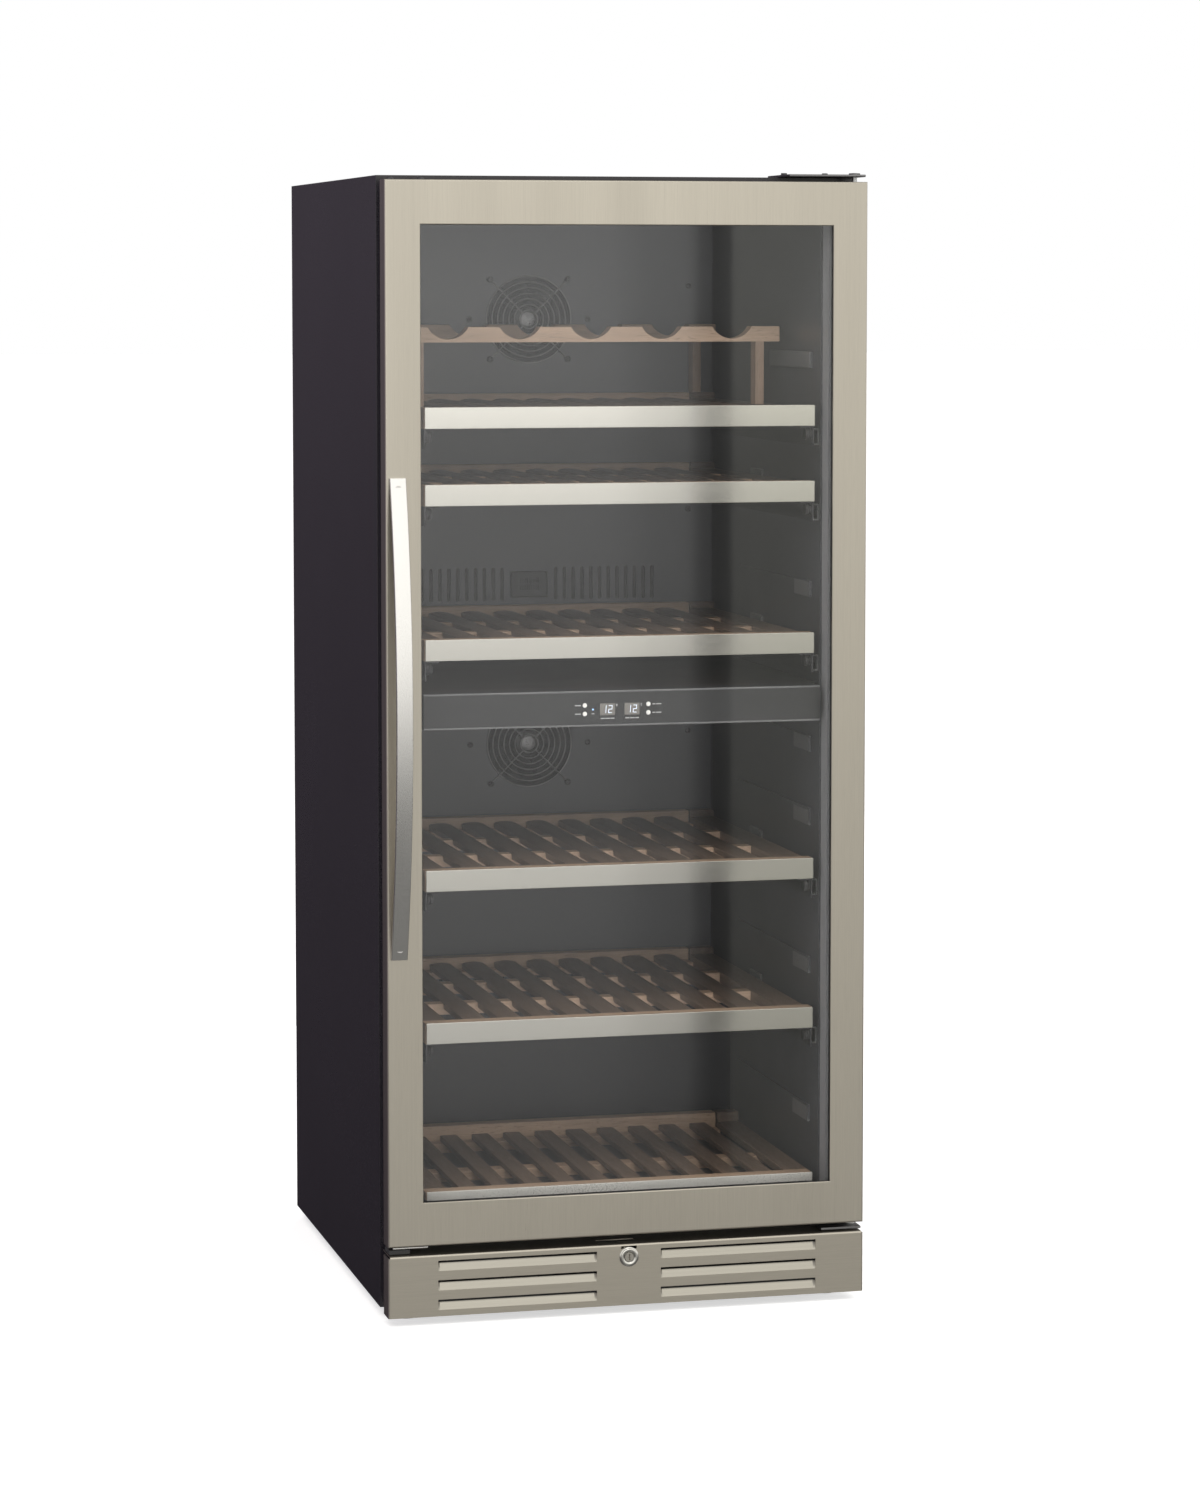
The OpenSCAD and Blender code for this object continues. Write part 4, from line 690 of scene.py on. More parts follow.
baseTop = baseStripHigh.z - 1 * mm
across, lengthways = bottomWood(baseShelf, baseHigh.x, baseLow.y, baseHigh.y, baseStripLow.z, baseTop, baseLow.z)
makePiece("bottomBoards", across, "cabinet", paintedLitShelfWood, ["bottom_shelf"])
makePiece("bottomSlats", lengthways, "cabinet", shelfWoodY, ["bottom_shelf"])
makePiece("bottomStrip", [roundBlock(baseStripLow, baseStripHigh, 0.7 * mm, 3)], "cabinet", baseStripSteel,
          ["bottom_shelf_strip"])

rackLow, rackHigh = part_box("display_rack")
rack = {"rail": 19 * mm, "depth": 22 * mm, "hollows": 5, "pitch": 90.6 * mm, "hollow": 15 * mm,
        "halfHollow": 25.5 * mm, "ease": 1.2 * mm,
        "post": 11.5 * mm, "postIn": 32 * mm, "rearFoot": 8 * mm}


def scallopedRail(s, y0):
    # a board whose top dips on a circle at every hollow; its section keeps eased corners as the height changes
    ease, top, base = s["ease"], rackHigh.z, rackHigh.z - s["rail"]
    radius = (s["halfHollow"] ** 2 + s["hollow"] ** 2) / (2 * s["hollow"])
    centres = (np.arange(s["hollows"]) - (s["hollows"] - 1) / 2) * s["pitch"]
    inside = np.linspace(-1, 1, 25) * s["halfHollow"]
    x = np.sort(np.concatenate([(centres[:, None] + inside).ravel(),
                                (centres[:, None] + np.array([-1.01, 1.01]) * s["halfHollow"]).ravel(),
                                [rackLow.x, rackLow.x + ease, rackHigh.x - ease, rackHigh.x]]))
    away = np.abs(x[:, None] - centres).min(1)
    dip = np.where(away < s["halfHollow"], np.sqrt(np.maximum(radius ** 2 - away ** 2, 0)) - (radius - s["hollow"]), 0)
    height = top - np.maximum(dip, 0)
    endEase = np.where((x <= rackLow.x) | (x >= rackHigh.x), ease, 0)
    y1 = y0 + s["depth"]
    turn = np.linspace(0, np.pi / 2, 4)
    lift, inset = ease * (1 - np.sin(turn)), ease * (1 - np.cos(turn))
    rings = []
    for place, z, cut in zip(x, height, endEase):
        y = np.concatenate([[y0 + cut], y0 + inset + cut, y1 - inset[::-1] - cut, [y1 - cut]])
        up = np.concatenate([[base + cut], z - lift - cut, z - lift[::-1] - cut, [base + cut]])
        rings.append(np.stack([np.full(len(y), place), y, up], -1))
    return loft(rings)


rackRear = rackHigh.y - rack["depth"]
rails = [scallopedRail(rack, y) for y in (rackLow.y, rackRear)]
makePiece("rackRails", rails, "shelf_one", railWoodX, ["display_rack"], 25)
posts = []
postX, postTop = rackHigh.x - rack["postIn"], rackHigh.z - rack["rail"] + 1 * mm
for y, foot in ((rackLow.y, rackLow.z), (rackRear, rackLow.z + rack["rearFoot"])):
    post = roundBlock((postX, y + 0.3 * mm, foot), (postX + rack["post"], y + rack["depth"] - 0.3 * mm, postTop),
                      1.2 * mm)
    posts += [post, mirrored(post)]
makePiece("rackPosts", posts, "shelf_one", postWoodZ, ["display_rack"])
print("shelves made")

# fans and their wire guards

fan = {"rings": 7, "inner": 12 * mm, "step": 7.5 * mm, "wire": 0.85 * mm, "legs": 105 * mm / math.sqrt(2),
       "eye": 3.4 * mm,
       "legWire": 1 * mm, "eyeWire": 0.9 * mm, "blades": 7, "hubClear": 2.5 * mm, "bladeFrom": 17.4 * mm,
       "bladeTo": 51.5 * mm}


def guardAt(x, y, z, s):
    # wire rings in one plane, four legs laid over them and an eye at each leg's end, where one of the fan screws sits
    parts = [ringAround((x, y + 2.6 * mm, z), s["inner"] + i * s["step"], s["wire"], 1, 72, 8)
             for i in range(s["rings"])]
    outer = s["inner"] + (s["rings"] - 1) * s["step"]
    t = np.linspace(0, 1, 14)
    for turn in np.radians([45, 135, 225, 315]):
        away = s["inner"] - 1 * mm + (s["legs"] - s["inner"] - 2.4 * mm) * t
        lift = np.where(away > outer, (away - outer) / (s["legs"] - outer), 0) * 2.0 * mm
        path = np.stack([x + away * math.cos(turn), y + 1.0 * mm + lift, z + away * math.sin(turn)], -1)
        parts.append(tubeAlong(path, s["legWire"], 8))
        tip = (x + s["legs"] * math.cos(turn), y + 3.0 * mm, z + s["legs"] * math.sin(turn))
        parts.append(ringAround(tip, s["eye"], s["eyeWire"], 1, 24, 8))
    return parts


def screwHead(x, y, z, radius, rise):
    # a domed pan head facing the front with a cross pressed into it
    angle = np.linspace(0, 2 * np.pi, 32, endpoint=False)
    share = np.array([1.0, 1.0, 0.94, 0.8, 0.6, 0.45, 0.3, 0.15, 0.04])
    height = np.array([0.0, 0.35, 0.7, 0.9, 0.98, 1.0, 1.0, 1.0, 1.0]) * rise
    px, pz = radius * share[:, None] * np.cos(angle), radius * share[:, None] * np.sin(angle)
    arm = (np.minimum(np.abs(px), np.abs(pz)) < 0.13 * radius) & (share[:, None] < 0.62)
    py = height[:, None] - np.where(arm, 0.55 * rise, 0)
    return loft(np.stack([x + px, y - py, z + pz], -1))


def rotorAt(x, y, z, s):
    # a domed hub; each blade is a twisted strip, bowed across its width, with a thin closed section
    dome = np.array([(4, 2.6), (13, 2.7), (16.6, 3.4), (18, 5.2), (18, 21.6), (17, 21.9)]) * mm
    parts = [lathe(dome, (x, y, z), 1, 48)]
    reach = np.linspace(s["bladeFrom"], s["bladeTo"], 9)
    across = np.linspace(-1, 1, 9)
    for k in range(s["blades"]):
        rings = []
        for r in reach:
            grown = (r - reach[0]) / (reach[-1] - reach[0])
            half = (11.5 + 3.5 * grown) * mm / r
            angle = 2 * np.pi * k / s["blades"] + 0.35 * grown + across * half
            pitch = (7.4 - 2.0 * grown) * mm
            level = y + 12.2 * mm + across * pitch - 1.2 * mm * (1 - across ** 2)
            thick = 0.75 * mm * np.sqrt(np.clip(1 - across ** 2, 0.02, 1))
            front = np.stack([x + r * np.cos(angle), level - thick, z + r * np.sin(angle)], -1)
            back = np.stack([x + r * np.cos(angle), level + thick, z + r * np.sin(angle)], -1)[::-1]
            rings.append(np.concatenate([front, back]))
        parts.append(loft(rings))
    return parts


upperLow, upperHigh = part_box("upper_fan_rotor")
lowerLow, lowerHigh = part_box("lower_fan_rotor")
bayLow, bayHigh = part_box("condenser_fan_rotor")
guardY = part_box("fan_guards")[0].y
upperFanZ, lowerFanZ = (upperLow.z + upperHigh.z) / 2, (lowerLow.z + lowerHigh.z) / 2
fanBack = upperLow.y - fan["hubClear"]
fanParts = guardAt(0, guardY, upperFanZ, fan) + guardAt(0, guardY, lowerFanZ, fan)
makePiece("fanGuards", fanParts, "cabinet", guardWire, ["fan_guards"], 60)
foilProfile = np.array([(2, 2.1), (8, 2.15), (9.2, 2.4), (9.4, 2.75), (2, 2.75)]) * mm
fanLevels = {"upper": upperFanZ, "lower": lowerFanZ}
for level, z in fanLevels.items():
    body = level + "_fan"
    makePiece(level + "Rotor", rotorAt(0, fanBack, z, fan), body, fanPlastic, [body + "_rotor"], 40)
for level, z in fanLevels.items():
    makePiece(level + "HubFoil", [lathe(foilProfile, (0, fanBack, z), 1, 40)], level + "_fan", hubLabel)
bayCentre = (bayLow + bayHigh) / 2
points, faces = joined(rotorAt(0, 0, 0, fan))
turned = np.stack([points[:, 1], -points[:, 0], points[:, 2]], -1) + (bayLow.x - fan["hubClear"], bayCentre.y,
                                                                      bayCentre.z)
makePiece("bayRotor", [(turned, faces)], "condenser_fan", fanPlastic, ["condenser_fan_rotor"], 40)
legTip = fan["legs"] * math.cos(math.radians(45))
heads = [screwHead(side * legTip, guardY + 2.2 * mm, z + up * legTip, 4.2 * mm, 1.9 * mm)
         for z in (upperFanZ, lowerFanZ) for side in (-1, 1) for up in (-1, 1)]
makePiece("fanScrews", heads, "cabinet", darkScrew, (), 50)
print("fans made")

# small parts on the inner walls

wall = {"out": 3.4 * mm, "sink": 0.5 * mm, "capY": (-209 * mm, -144 * mm), "capZ": (873, 681, 589, 404, 217.5),
        "capH": 19 * mm,
        "clipY": (3.5 * mm, 54.5 * mm), "clipZ": (1005, 817, 539, 351), "clipH": 15 * mm,
        "blockY": (-209 * mm, -33 * mm), "blockZ": 1156 * mm, "blockH": 20 * mm, "blockOut": 4 * mm}


def wallPad(ends, z, tall, out, ease):
    # an eased block on the inner wall, from its two ends, its middle height and how far it stands out
    return roundBlock((wallX - out, ends[0], z - tall / 2), (wallX + wall["sink"], ends[1], z + tall / 2), ease)


pads = [wallPad(wall["capY"], z * mm, wall["capH"], wall["out"], 1.2 * mm) for z in wall["capZ"]]
pads.append(wallPad(wall["blockY"], wall["blockZ"], wall["blockH"], wall["blockOut"], 1.5 * mm))
pads += [wallPad(wall["clipY"], z * mm, wall["clipH"], wall["out"], 1.2 * mm) for z in wall["clipZ"]]
makePiece("wallCaps", pads + [mirrored(part) for part in pads], "cabinet", lipPlastic, ())
# black sheets behind the slots, painted shade that keeps them dark so that no light shows through from the coil's side
slotShadePad = {"x": (28 * mm, 190 * mm), "back": 3.2 * mm, "thick": 1.6 * mm,
           "z": ((826 * mm, 881 * mm), (304.5 * mm, 359.5 * mm))}
slotShadeY = coverFace + slotShadePad["back"]
slotShadeSheets = [roundBlock((slotShadePad["x"][0], slotShadeY, z0), (slotShadePad["x"][1], slotShadeY + slotShadePad["thick"], z1), 0.5 * mm)
        for z0, z1 in slotShadePad["z"]]
makePiece("slotShadeSheet", slotShadeSheets + [mirrored(part) for part in slotShadeSheets], "cabinet", spacerBlack)
sensorLow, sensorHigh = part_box("sensor_covers")
sensorRim = {"halfW": 24.2 * mm, "halfH": 16.7 * mm, "corner": 5 * mm, "wire": 0.8 * mm, "in": 17.5 * mm}
outline = roundedLoop(sensorRim["halfW"], sensorRim["halfH"], sensorRim["corner"], 7)
sensorRings = []
for z in (sensorLow.z + sensorRim["in"], sensorHigh.z - sensorRim["in"]):
    path = np.stack([outline[:, 0], np.full(len(outline), sensorLow.y), z + outline[:, 1]], -1)
    sensorRings.append(tubeAlong(path, sensorRim["wire"], 8, (0, 1, 0), True))
makePiece("sensorRims", sensorRings, "cabinet", spacerBlack, sharp=60)
print("walls made")

# buttons, displays and labels on the control panel

fasciaLow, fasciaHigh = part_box("control_fascia")
buttonNodes = {"power_button": "power_key", "light_button": "light_key",
               "upper_zone_button": "upper_zone_key", "lower_zone_button": "lower_zone_key"}
fasciaFace = fasciaLow.y
button = {"radius": 2.7 * mm, "stem": 4.2 * mm, "flange": 0.9 * mm, "rimGap": 0.35 * mm}
buttonRims = []
for node, body in buttonNodes.items():
    low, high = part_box(node)
    centre = ((low.x + high.x) / 2, fasciaFace, (low.z + high.z) / 2)
    radius, proud, stem = button["radius"], fasciaFace - low.y, button["stem"]
    wide, rim = radius + button["flange"], radius + button["rimGap"]
    # a shallow dome on a straight stem, with the flange that keeps it in
    dome = [(0.15 * radius, -proud), (0.5 * radius, -0.94 * proud), (0.78 * radius, -0.76 * proud),
            (0.94 * radius, -0.45 * proud),
            (radius, 0), (radius, stem), (wide, stem + 0.1 * mm), (wide, stem + 1.1 * mm), (radius, stem + 1.2 * mm),
            (radius, high.y - fasciaFace)]
    makePiece(body + "Cap", [lathe(dome, centre, 1, 32)], body, buttonPearl, [node], 40)
    rimProfile = [(rim, 0.3 * mm), (rim, -0.12 * mm), (rim + 0.4 * mm, -0.22 * mm), (rim + 0.75 * mm, 0),
                  (rim + 0.75 * mm, 0.3 * mm)]
    buttonRims.append(hollowLathe(rimProfile, centre, 1, 32))
makePiece("buttonRims", buttonRims, "cabinet", spacerBlack, (), 60)

windowLow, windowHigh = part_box("display_windows")
controlsZ = (windowLow.z + windowHigh.z) / 2
windowXs = (-20.4 * mm, 10.2 * mm)
lens = [loopPlate(roundedLoop(9.3 * mm, 7.1 * mm, 0.8 * mm), (x, controlsZ), windowLow.y, windowHigh.y, 0.3 * mm)
        for x in windowXs]
makePiece("displayLenses", lens, "cabinet", displayLens, ["display_windows"])


def bar(x0, x1, z0, z1, lift=0.12 * mm, behind=0.06 * mm):
    return roundBlock((x0, fasciaFace - lift, z0), (x1, fasciaFace + behind, z1), 0.05 * mm, 1)


def digit(x, z, segments, w=4.7 * mm, h=9.4 * mm, t=0.8 * mm, slant=0.08):
    # a seven-segment figure: each lit segment a thin bar, the whole leaning to the right
    spans = {"a": (0, w, h - t, h), "g": (0, w, h / 2 - t / 2, h / 2 + t / 2), "d": (0, w, 0, t),
             "f": (0, t, h / 2, h), "b": (w - t, w, h / 2, h),
             "e": (0, t, 0, h / 2), "c": (w - t, w, 0, h / 2)}
    parts = []
    for name in segments:
        x0, x1, z0, z1 = spans[name]
        points, faces = bar(x + x0 + 0.08 * mm, x + x1 - 0.08 * mm, z + z0 + 0.08 * mm, z + z1 - 0.08 * mm)
        points = points + np.stack([(points[:, 2] - z) * slant, np.zeros(len(points)), np.zeros(len(points))], -1)
        parts.append((points, faces))
    return parts


# plain bars where a panel has its labels: x from, x to, z from, z to in mm, round each window and beside the buttons
windowMarks = ((10.8, 12.4, 5.3, 6.1), (10.8, 11.3, 4.1, 5.3), (10.8, 12.4, 3.4, 4.1),
               (-8.4, -3.4, -11.6, -10.5), (-2.6, 3.2, -11.6, -10.5), (4.0, 8.6, -11.6, -10.5))
buttonMarks = [(x0, x1, z - 0.6, z + 0.6) for z in (5.15, -5.15) for x0,
               x1 in ((-61, -53.6), (35.6, 39.2), (40.2, 46.8))]
buttonMarks.append((-40.4, -36.8, -5.6, -4.6))


def labelBars(marks, x):
    return [bar(x + x0 * mm, x + x1 * mm, controlsZ + z0 * mm, controlsZ + z1 * mm) for x0, x1, z0, z1 in marks]


lit, labels = [], []
for x in windowXs:
    lit += digit(x - 6.6 * mm, controlsZ - 4.7 * mm, "bc") + digit(x + 0.8 * mm, controlsZ - 4.7 * mm, "abged")
    labels += labelBars(windowMarks, x)
labels += labelBars(buttonMarks, 0)
makePiece("displayDigits", lit, "cabinet", digitInk, (), 30)
makePiece("controlLabels", labels, "cabinet", labelInk, (), 30)
dot = lathe(np.array([(0.1, -0.5), (0.6, -0.4), (0.95, -0.05), (0.95, 2)]) * mm, (-38.6 * mm, fasciaFace, controlsZ),
            1, 24)
makePiece("coolingLight", [dot], "cabinet", dotInk, (), 50)
lip = {"out": 0.7 * mm, "half": 1.1 * mm, "in": 1.2 * mm, "round": 0.6 * mm}
lips = [roundBlock((fasciaLow.x, fasciaFace - lip["out"], z - lip["half"]),
                   (fasciaHigh.x, fasciaFace + 1 * mm, z + lip["half"]), lip["round"])
        for z in (fasciaLow.z + lip["in"], fasciaHigh.z - lip["in"])]
makePiece("fasciaLips", lips, "cabinet", lipPlastic, ())
print("controls made")

# kick plate and lock

kickLow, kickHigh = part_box("kick_plate")
kick = {"sheet": 1.2 * mm, "bend": 2.4 * mm, "sideD": 29 * mm, "topD": 45 * mm, "rows": 3, "louvreH": 12.6 * mm,
        "pitch": 23.8 * mm, "top": 7.4 * mm,
        "inner": 40 * mm, "end": 61 * mm, "throw": 3.8 * mm, "vaneH": 9.6 * mm, "vaneT": 0.9 * mm, "vaneLap": 0.4 * mm,
        "vaneGap": 0.3 * mm, "vaneEnd": 2.5 * mm, "lockR": 9.7 * mm}
lockLow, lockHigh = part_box("lock_body")
lockZ = (lockLow.z + lockHigh.z) / 2


def kickSheet(s):
    # one sheet: left return, bend, front, bend, right return; a vane's depth is a share of a quarter sine of its height
    # cells of the sheet's grid are left out for the louvres and the lock
    halfW, z0, z1, r = kickHigh.x, kickLow.z, kickHigh.z, s["bend"]
    turn = np.linspace(0, np.pi / 2, 6)
    slots = [(z1 - s["top"] - i * s["pitch"] - s["louvreH"], z1 - s["top"] - i * s["pitch"]) for i in range(s["rows"])]
    half, vaneX = s["lockR"], halfW - s["end"]
    places = [-vaneX, -s["inner"], keeper[0], -half, half, keeper[1], s["inner"], vaneX]
    xs = np.unique(np.round(np.concatenate([places, np.linspace(-halfW + r, halfW - r, 9)]), 6))
    across = np.concatenate([np.stack([np.full(2, -halfW), [doorFace + s["sideD"], doorFace + r + 0.1 * mm]], -1),
                             np.stack([-halfW + r * (1 - np.cos(turn)), doorFace + r * (1 - np.sin(turn))], -1)[:-1],
                             np.stack([xs, np.full(len(xs), doorFace)], -1),
                             np.stack([halfW - r * (1 - np.sin(turn)), doorFace + r * (1 - np.cos(turn))], -1)[1:],
                             np.stack([np.full(2, halfW), [doorFace + r + 0.1 * mm, doorFace + s["sideD"]]], -1)])
    zs = np.unique(np.round(np.concatenate([[z0, z1 - r, lockZ - half], *slots]), 6))
    points = np.zeros((len(across), len(zs), 3))
    points[..., :2] = across[:, None]
    points[..., 2] = zs
    quads = gridQuads(len(across), len(zs))
    flat = points.reshape(-1, 3)
    centre = flat[quads].mean(1)
    inFront = np.abs(centre[:, 1] - doorFace) < 1e-6
    ax = np.abs(centre[:, 0])
    cut = np.zeros(len(quads), bool)
    for low, high in slots:
        cut |= inFront & (ax > s["inner"]) & (ax < vaneX) & (centre[:, 2] > low) & (centre[:, 2] < high)
    cut |= inFront & (ax < half) & (centre[:, 2] > lockZ - half)
    sheet = (flat, quads[~cut].tolist())
    # the top bend and flange, over the front's width, joined to the front's upper edge
    bend = np.stack([doorFace + r * (1 - np.cos(turn)), z1 - r + r * np.sin(turn)], -1)
    slotY = (camLow.y - camRoom["plate"], camHigh.y + camRoom["plate"])
    rows = np.concatenate([bend, [[slotY[0], z1], [slotY[1], z1], [doorFace + s["topD"], z1]]])
    top = np.zeros((len(xs), len(rows), 3))
    top[..., 0] = xs[:, None]
    top[..., 1:] = rows
    flatTop = top.reshape(-1, 3)
    topQuads = gridQuads(len(xs), len(rows))
    middle = flatTop[topQuads].mean(1)
    besideCam = (middle[:, 0] > keeper[0]) & (middle[:, 0] < keeper[1])
    forCam = besideCam & (middle[:, 1] > slotY[0]) & (middle[:, 1] < slotY[1])
    parts = [sheet, (flatTop, topQuads[~forCam].tolist())]
    # the steel round the lock, between its round hole and the square left for it
    angle = np.linspace(0, 2 * np.pi, 48, endpoint=False)
    edge = np.maximum(np.abs(np.cos(angle)), np.abs(np.sin(angle)))
    ring = []
    for radius in (half / edge, np.full(48, half * 0.985)):
        up = np.clip(radius * np.sin(angle), -half, z1 - r - lockZ)
        ring.append(np.stack([radius * np.cos(angle), np.full(48, doorFace), lockZ + up], -1))
    parts.append((np.concatenate(ring), gridQuads(2, 48, False, True).tolist()))
    vanes = []
    rise = np.linspace(0, 1, 17)
    for low, high in slots:
        # each vane leaves the slot's lower edge level with the front and curves in towards its top
        depth = s["throw"] * np.sin(rise * np.pi / 2) ** 1.4
        flatter = np.array([0.25, 1, 1, 0.25])  # the two ends come in less than the middle
        grid = np.zeros((4, 17, 3))
        grid[:, :, 0] = np.array([s["inner"] - s["vaneLap"], s["inner"] + s["vaneEnd"], vaneX - s["vaneEnd"], vaneX
                                  + s["vaneLap"]])[:, None]
        grid[..., 1] = doorFace + s["vaneGap"] + depth * flatter[:, None]
        grid[..., 2] = low - s["vaneLap"] + s["vaneH"] * rise
        vane = (grid.reshape(-1, 3), gridQuads(4, 17).tolist())
        vanes += [vane, mirrored(vane)]
    return parts, vanes


sheetParts, vaneParts = kickSheet(kick)
points, faces = joined(sheetParts)
work = bmesh.new()
holder = bpy.data.meshes.new("kickHolder")
holder.from_pydata(points.tolist(), [], faces)
work.from_mesh(holder)
bmesh.ops.remove_doubles(work, verts=work.verts, dist=1e-5)
bmesh.ops.recalc_face_normals(work, faces=work.faces)
front = min(work.faces, key=lambda face: face.calc_center_median().y)
if front.normal.y > 0:
    bmesh.ops.reverse_faces(work, faces=work.faces)
work.to_mesh(holder)
work.free()
holder.shade_flat()
holder.materials.append(kickSteel)
kickPiece = bpy.data.objects.new("kickPlate", holder)
bpy.context.scene.collection.objects.link(kickPiece)
sheet = kickPiece.modifiers.new("sheet", "SOLIDIFY")
sheet.thickness, sheet.offset = kick["sheet"], -1
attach(kickPiece, "cabinet")
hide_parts("kick_plate")
vanePiece = makePiece("louvreVanes", vaneParts, "cabinet", shadedVaneSteel, ["kick_plate"], 40, False)
vanePiece.data.shade_flat()
sheet = vanePiece.modifiers.new("sheet", "SOLIDIFY")
sheet.thickness, sheet.offset = kick["vaneT"], 1

# the lock's ring: bore, rounded bezel, collar on the plate and the sleeve behind it
lockRim = np.array([(6.1, 21.5), (6.1, -1.6), (6.8, -2.4), (7.6, -2.9), (9.6, -3.0), (10.4, -2.6), (10.7, -1.6),
                    (11.5, -1.3),
                    (12, -0.8), (12, 0), (9.4, 0), (9.4, 21.5)]) * mm
makePiece("lockRing", [hollowLathe(lockRim, (0, doorFace, lockZ), 1, 56)], "cabinet", chrome, ["lock_body"])


keyPlug = {"radius": 5.9 * mm, "slotW": 1.9 * mm, "slotH": 6.6 * mm, "slotD": 3 * mm}


def keyFace(s, y0, y1):
    # a plug whose face is a polar grid; points inside the key's slot are pushed in
    angle = np.linspace(0, 2 * np.pi, 64, endpoint=False)
    share = np.array([1.0, 1.0, 0.93, 0.8, 0.66, 0.54, 0.46, 0.38, 0.3, 0.24, 0.18, 0.12, 0.03])
    level = np.array([y1, y0 + 0.5 * mm, y0, *[y0] * 10])
    px, pz = s["radius"] * share[:, None] * np.cos(angle), s["radius"] * share[:, None] * np.sin(angle)
    inside = (np.abs(px) < s["slotW"] / 2) & (np.abs(pz) < s["slotH"] / 2)
    py = level[:, None] + np.where(inside, s["slotD"], 0)
    return loft(np.stack([px, py, lockZ + pz], -1))


barrelLow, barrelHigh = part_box("lock_barrel")
makePiece("lockPlug", [keyFace(keyPlug, barrelLow.y, barrelHigh.y)], "lock", lockFace, ["lock_barrel"],
          40)
print("kick plate made")

# hinges, screws and feet

hingeLow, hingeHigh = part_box("top_hinge")
pinLow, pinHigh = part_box("hinge_pins")
pinX, pinY = (pinLow.x + pinHigh.x) / 2, (pinLow.y + pinHigh.y) / 2
pinCap = np.array([(7, 0), (7, 1.4), (6.4, 1.9), (2, 2.2)]) * mm
plate = [roundBlock(hingeLow, hingeHigh, 1.0 * mm), lathe(pinCap, (pinX, pinY, hingeHigh.z), 2, 32)]
makePiece("topHingePlate", plate, "cabinet", hingeSteel, ["top_hinge"])


def hexHead(x, y, z, radius, rise):
    # a flanged six-sided head on its washer, its corners eased at the top
    washer = lathe([(radius, 0), (radius, 0.7 * mm), (radius * 0.9, 0.9 * mm)], (x, y, z), 2, 32)
    head = lathe([(radius * 0.8, 0.8 * mm), (radius * 0.8, rise - 0.5 * mm), (radius * 0.66, rise)], (x, y, z), 2, 6)
    return [washer, head]


screw = {"hexIn": (83 * mm, 31 * mm), "hexBack": 25 * mm, "hexR": 4.9 * mm, "lowerIn": (13 * mm, 37 * mm),
         "lowerDown": 17 * mm}
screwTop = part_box("cabinet_screws")[1].z
screwParts = []
for inset in screw["hexIn"]:
    screwParts += hexHead(hingeHigh.x - inset, hingeHigh.y - screw["hexBack"], hingeHigh.z, screw["hexR"],
                          screwTop - hingeHigh.z)
panelSpots = [(80 * mm, upperFanZ), (80 * mm, lowerFanZ), (218.4 * mm, 1247 * mm), (218.4 * mm, 950 * mm),
              (218.4 * mm, lowerFanZ + 12 * mm)]
for x, z in panelSpots:
    head = screwHead(x, coverFace, z, 4 * mm, 1.6 * mm)
    screwParts += [head, moved(head, (-2 * x, 0, 0))]
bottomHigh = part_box("bottom_hinge")[1]
for inset in screw["lowerIn"]:
    screwParts.append(screwHead(bottomHigh.x - inset, bottomHigh.y - 3 * mm, bottomHigh.z - screw["lowerDown"],
                                3.9 * mm, 1.9 * mm))
makePiece("cabinetScrews", screwParts, "cabinet", darkScrew, ["cabinet_screws"], 40)

# plugs in the door's unused hinge holes, and the cap and plate at its lower left corner
plugProfile = np.array([(4.6, 0), (4.6, 0.9), (4.0, 2.0), (2.6, 2.9), (0.8, 3.2)]) * mm
plugs = [lathe(plugProfile, (x, pinY - 8.5 * mm, skinHigh.z), 2, 32) for x in (-pinX, 37 * mm - pinX)]
makePiece("doorPlugs", plugs, "door", darkScrew)
# the low and high corners of both, in mm from the kick plate's upper left corner
corner = {"cap": ((2.5, 8, 0.3), (28.5, 34.5, 6.8)), "plate": ((7.5, 9, 7), (50.5, 34.5, 8.8))}
cornerAt = np.array([skinLow.x, doorFace, kickHigh.z])
capLow, capHigh = cornerAt + np.array(corner["cap"]) * mm
plateLow, plateHigh = cornerAt + np.array(corner["plate"]) * mm
makePiece("cornerCap", [roundBlock(capLow, capHigh, 1.6 * mm, 3)], "cabinet", footPlastic)
makePiece("cornerPlate", [roundBlock(plateLow, plateHigh, 0.5 * mm)], "cabinet", handleSteel)

footLow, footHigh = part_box("levelling_feet")
foot = {"radius": 20 * mm, "stem": 5 * mm, "threadD": 0.45 * mm, "threadP": 0.5 * mm, "turns": 14, "top": 7 * mm}
footProfile = np.array([(18.4, 0), (20, 1.2), (20, 4.4), (18.6, 6.4), (15, 7), (5, 7.1)]) * mm
thread = [(foot["stem"] - foot["threadD"] * (k % 2), foot["top"] + k * foot["threadP"]) for k in range(foot["turns"])]
footParts = []
for x in (footLow.x + foot["radius"], footHigh.x - foot["radius"]):
    for y in (footLow.y + foot["radius"], footHigh.y - foot["radius"]):
        footParts += [lathe(footProfile, (x, y, 0), 2, 48), lathe(thread, (x, y, 0), 2, 24)]
makePiece("levellingFeet", footParts, "cabinet", footPlastic, ["levelling_feet"], 40)
print("hinges and feet made")

# camera, floor and light

view = {"place": (-1.252, -5.1652, 1.2474), "yaw": 14.02, "down": 4.285, "lens": 100.79, "sensor": 36, "shift": -0.10}
camera = bpy.data.cameras.new("camera")
camera.lens, camera.sensor_width, camera.shift_y = view["lens"], view["sensor"], view["shift"]
camera.clip_start, camera.clip_end = 0.1, 200
cameraObject = bpy.data.objects.new("camera", camera)
cameraObject.location = view["place"]
cameraObject.rotation_euler = (math.radians(90 - view["down"]), 0, -math.radians(view["yaw"]))
bpy.context.scene.collection.objects.link(cameraObject)
bpy.context.scene.camera = cameraObject

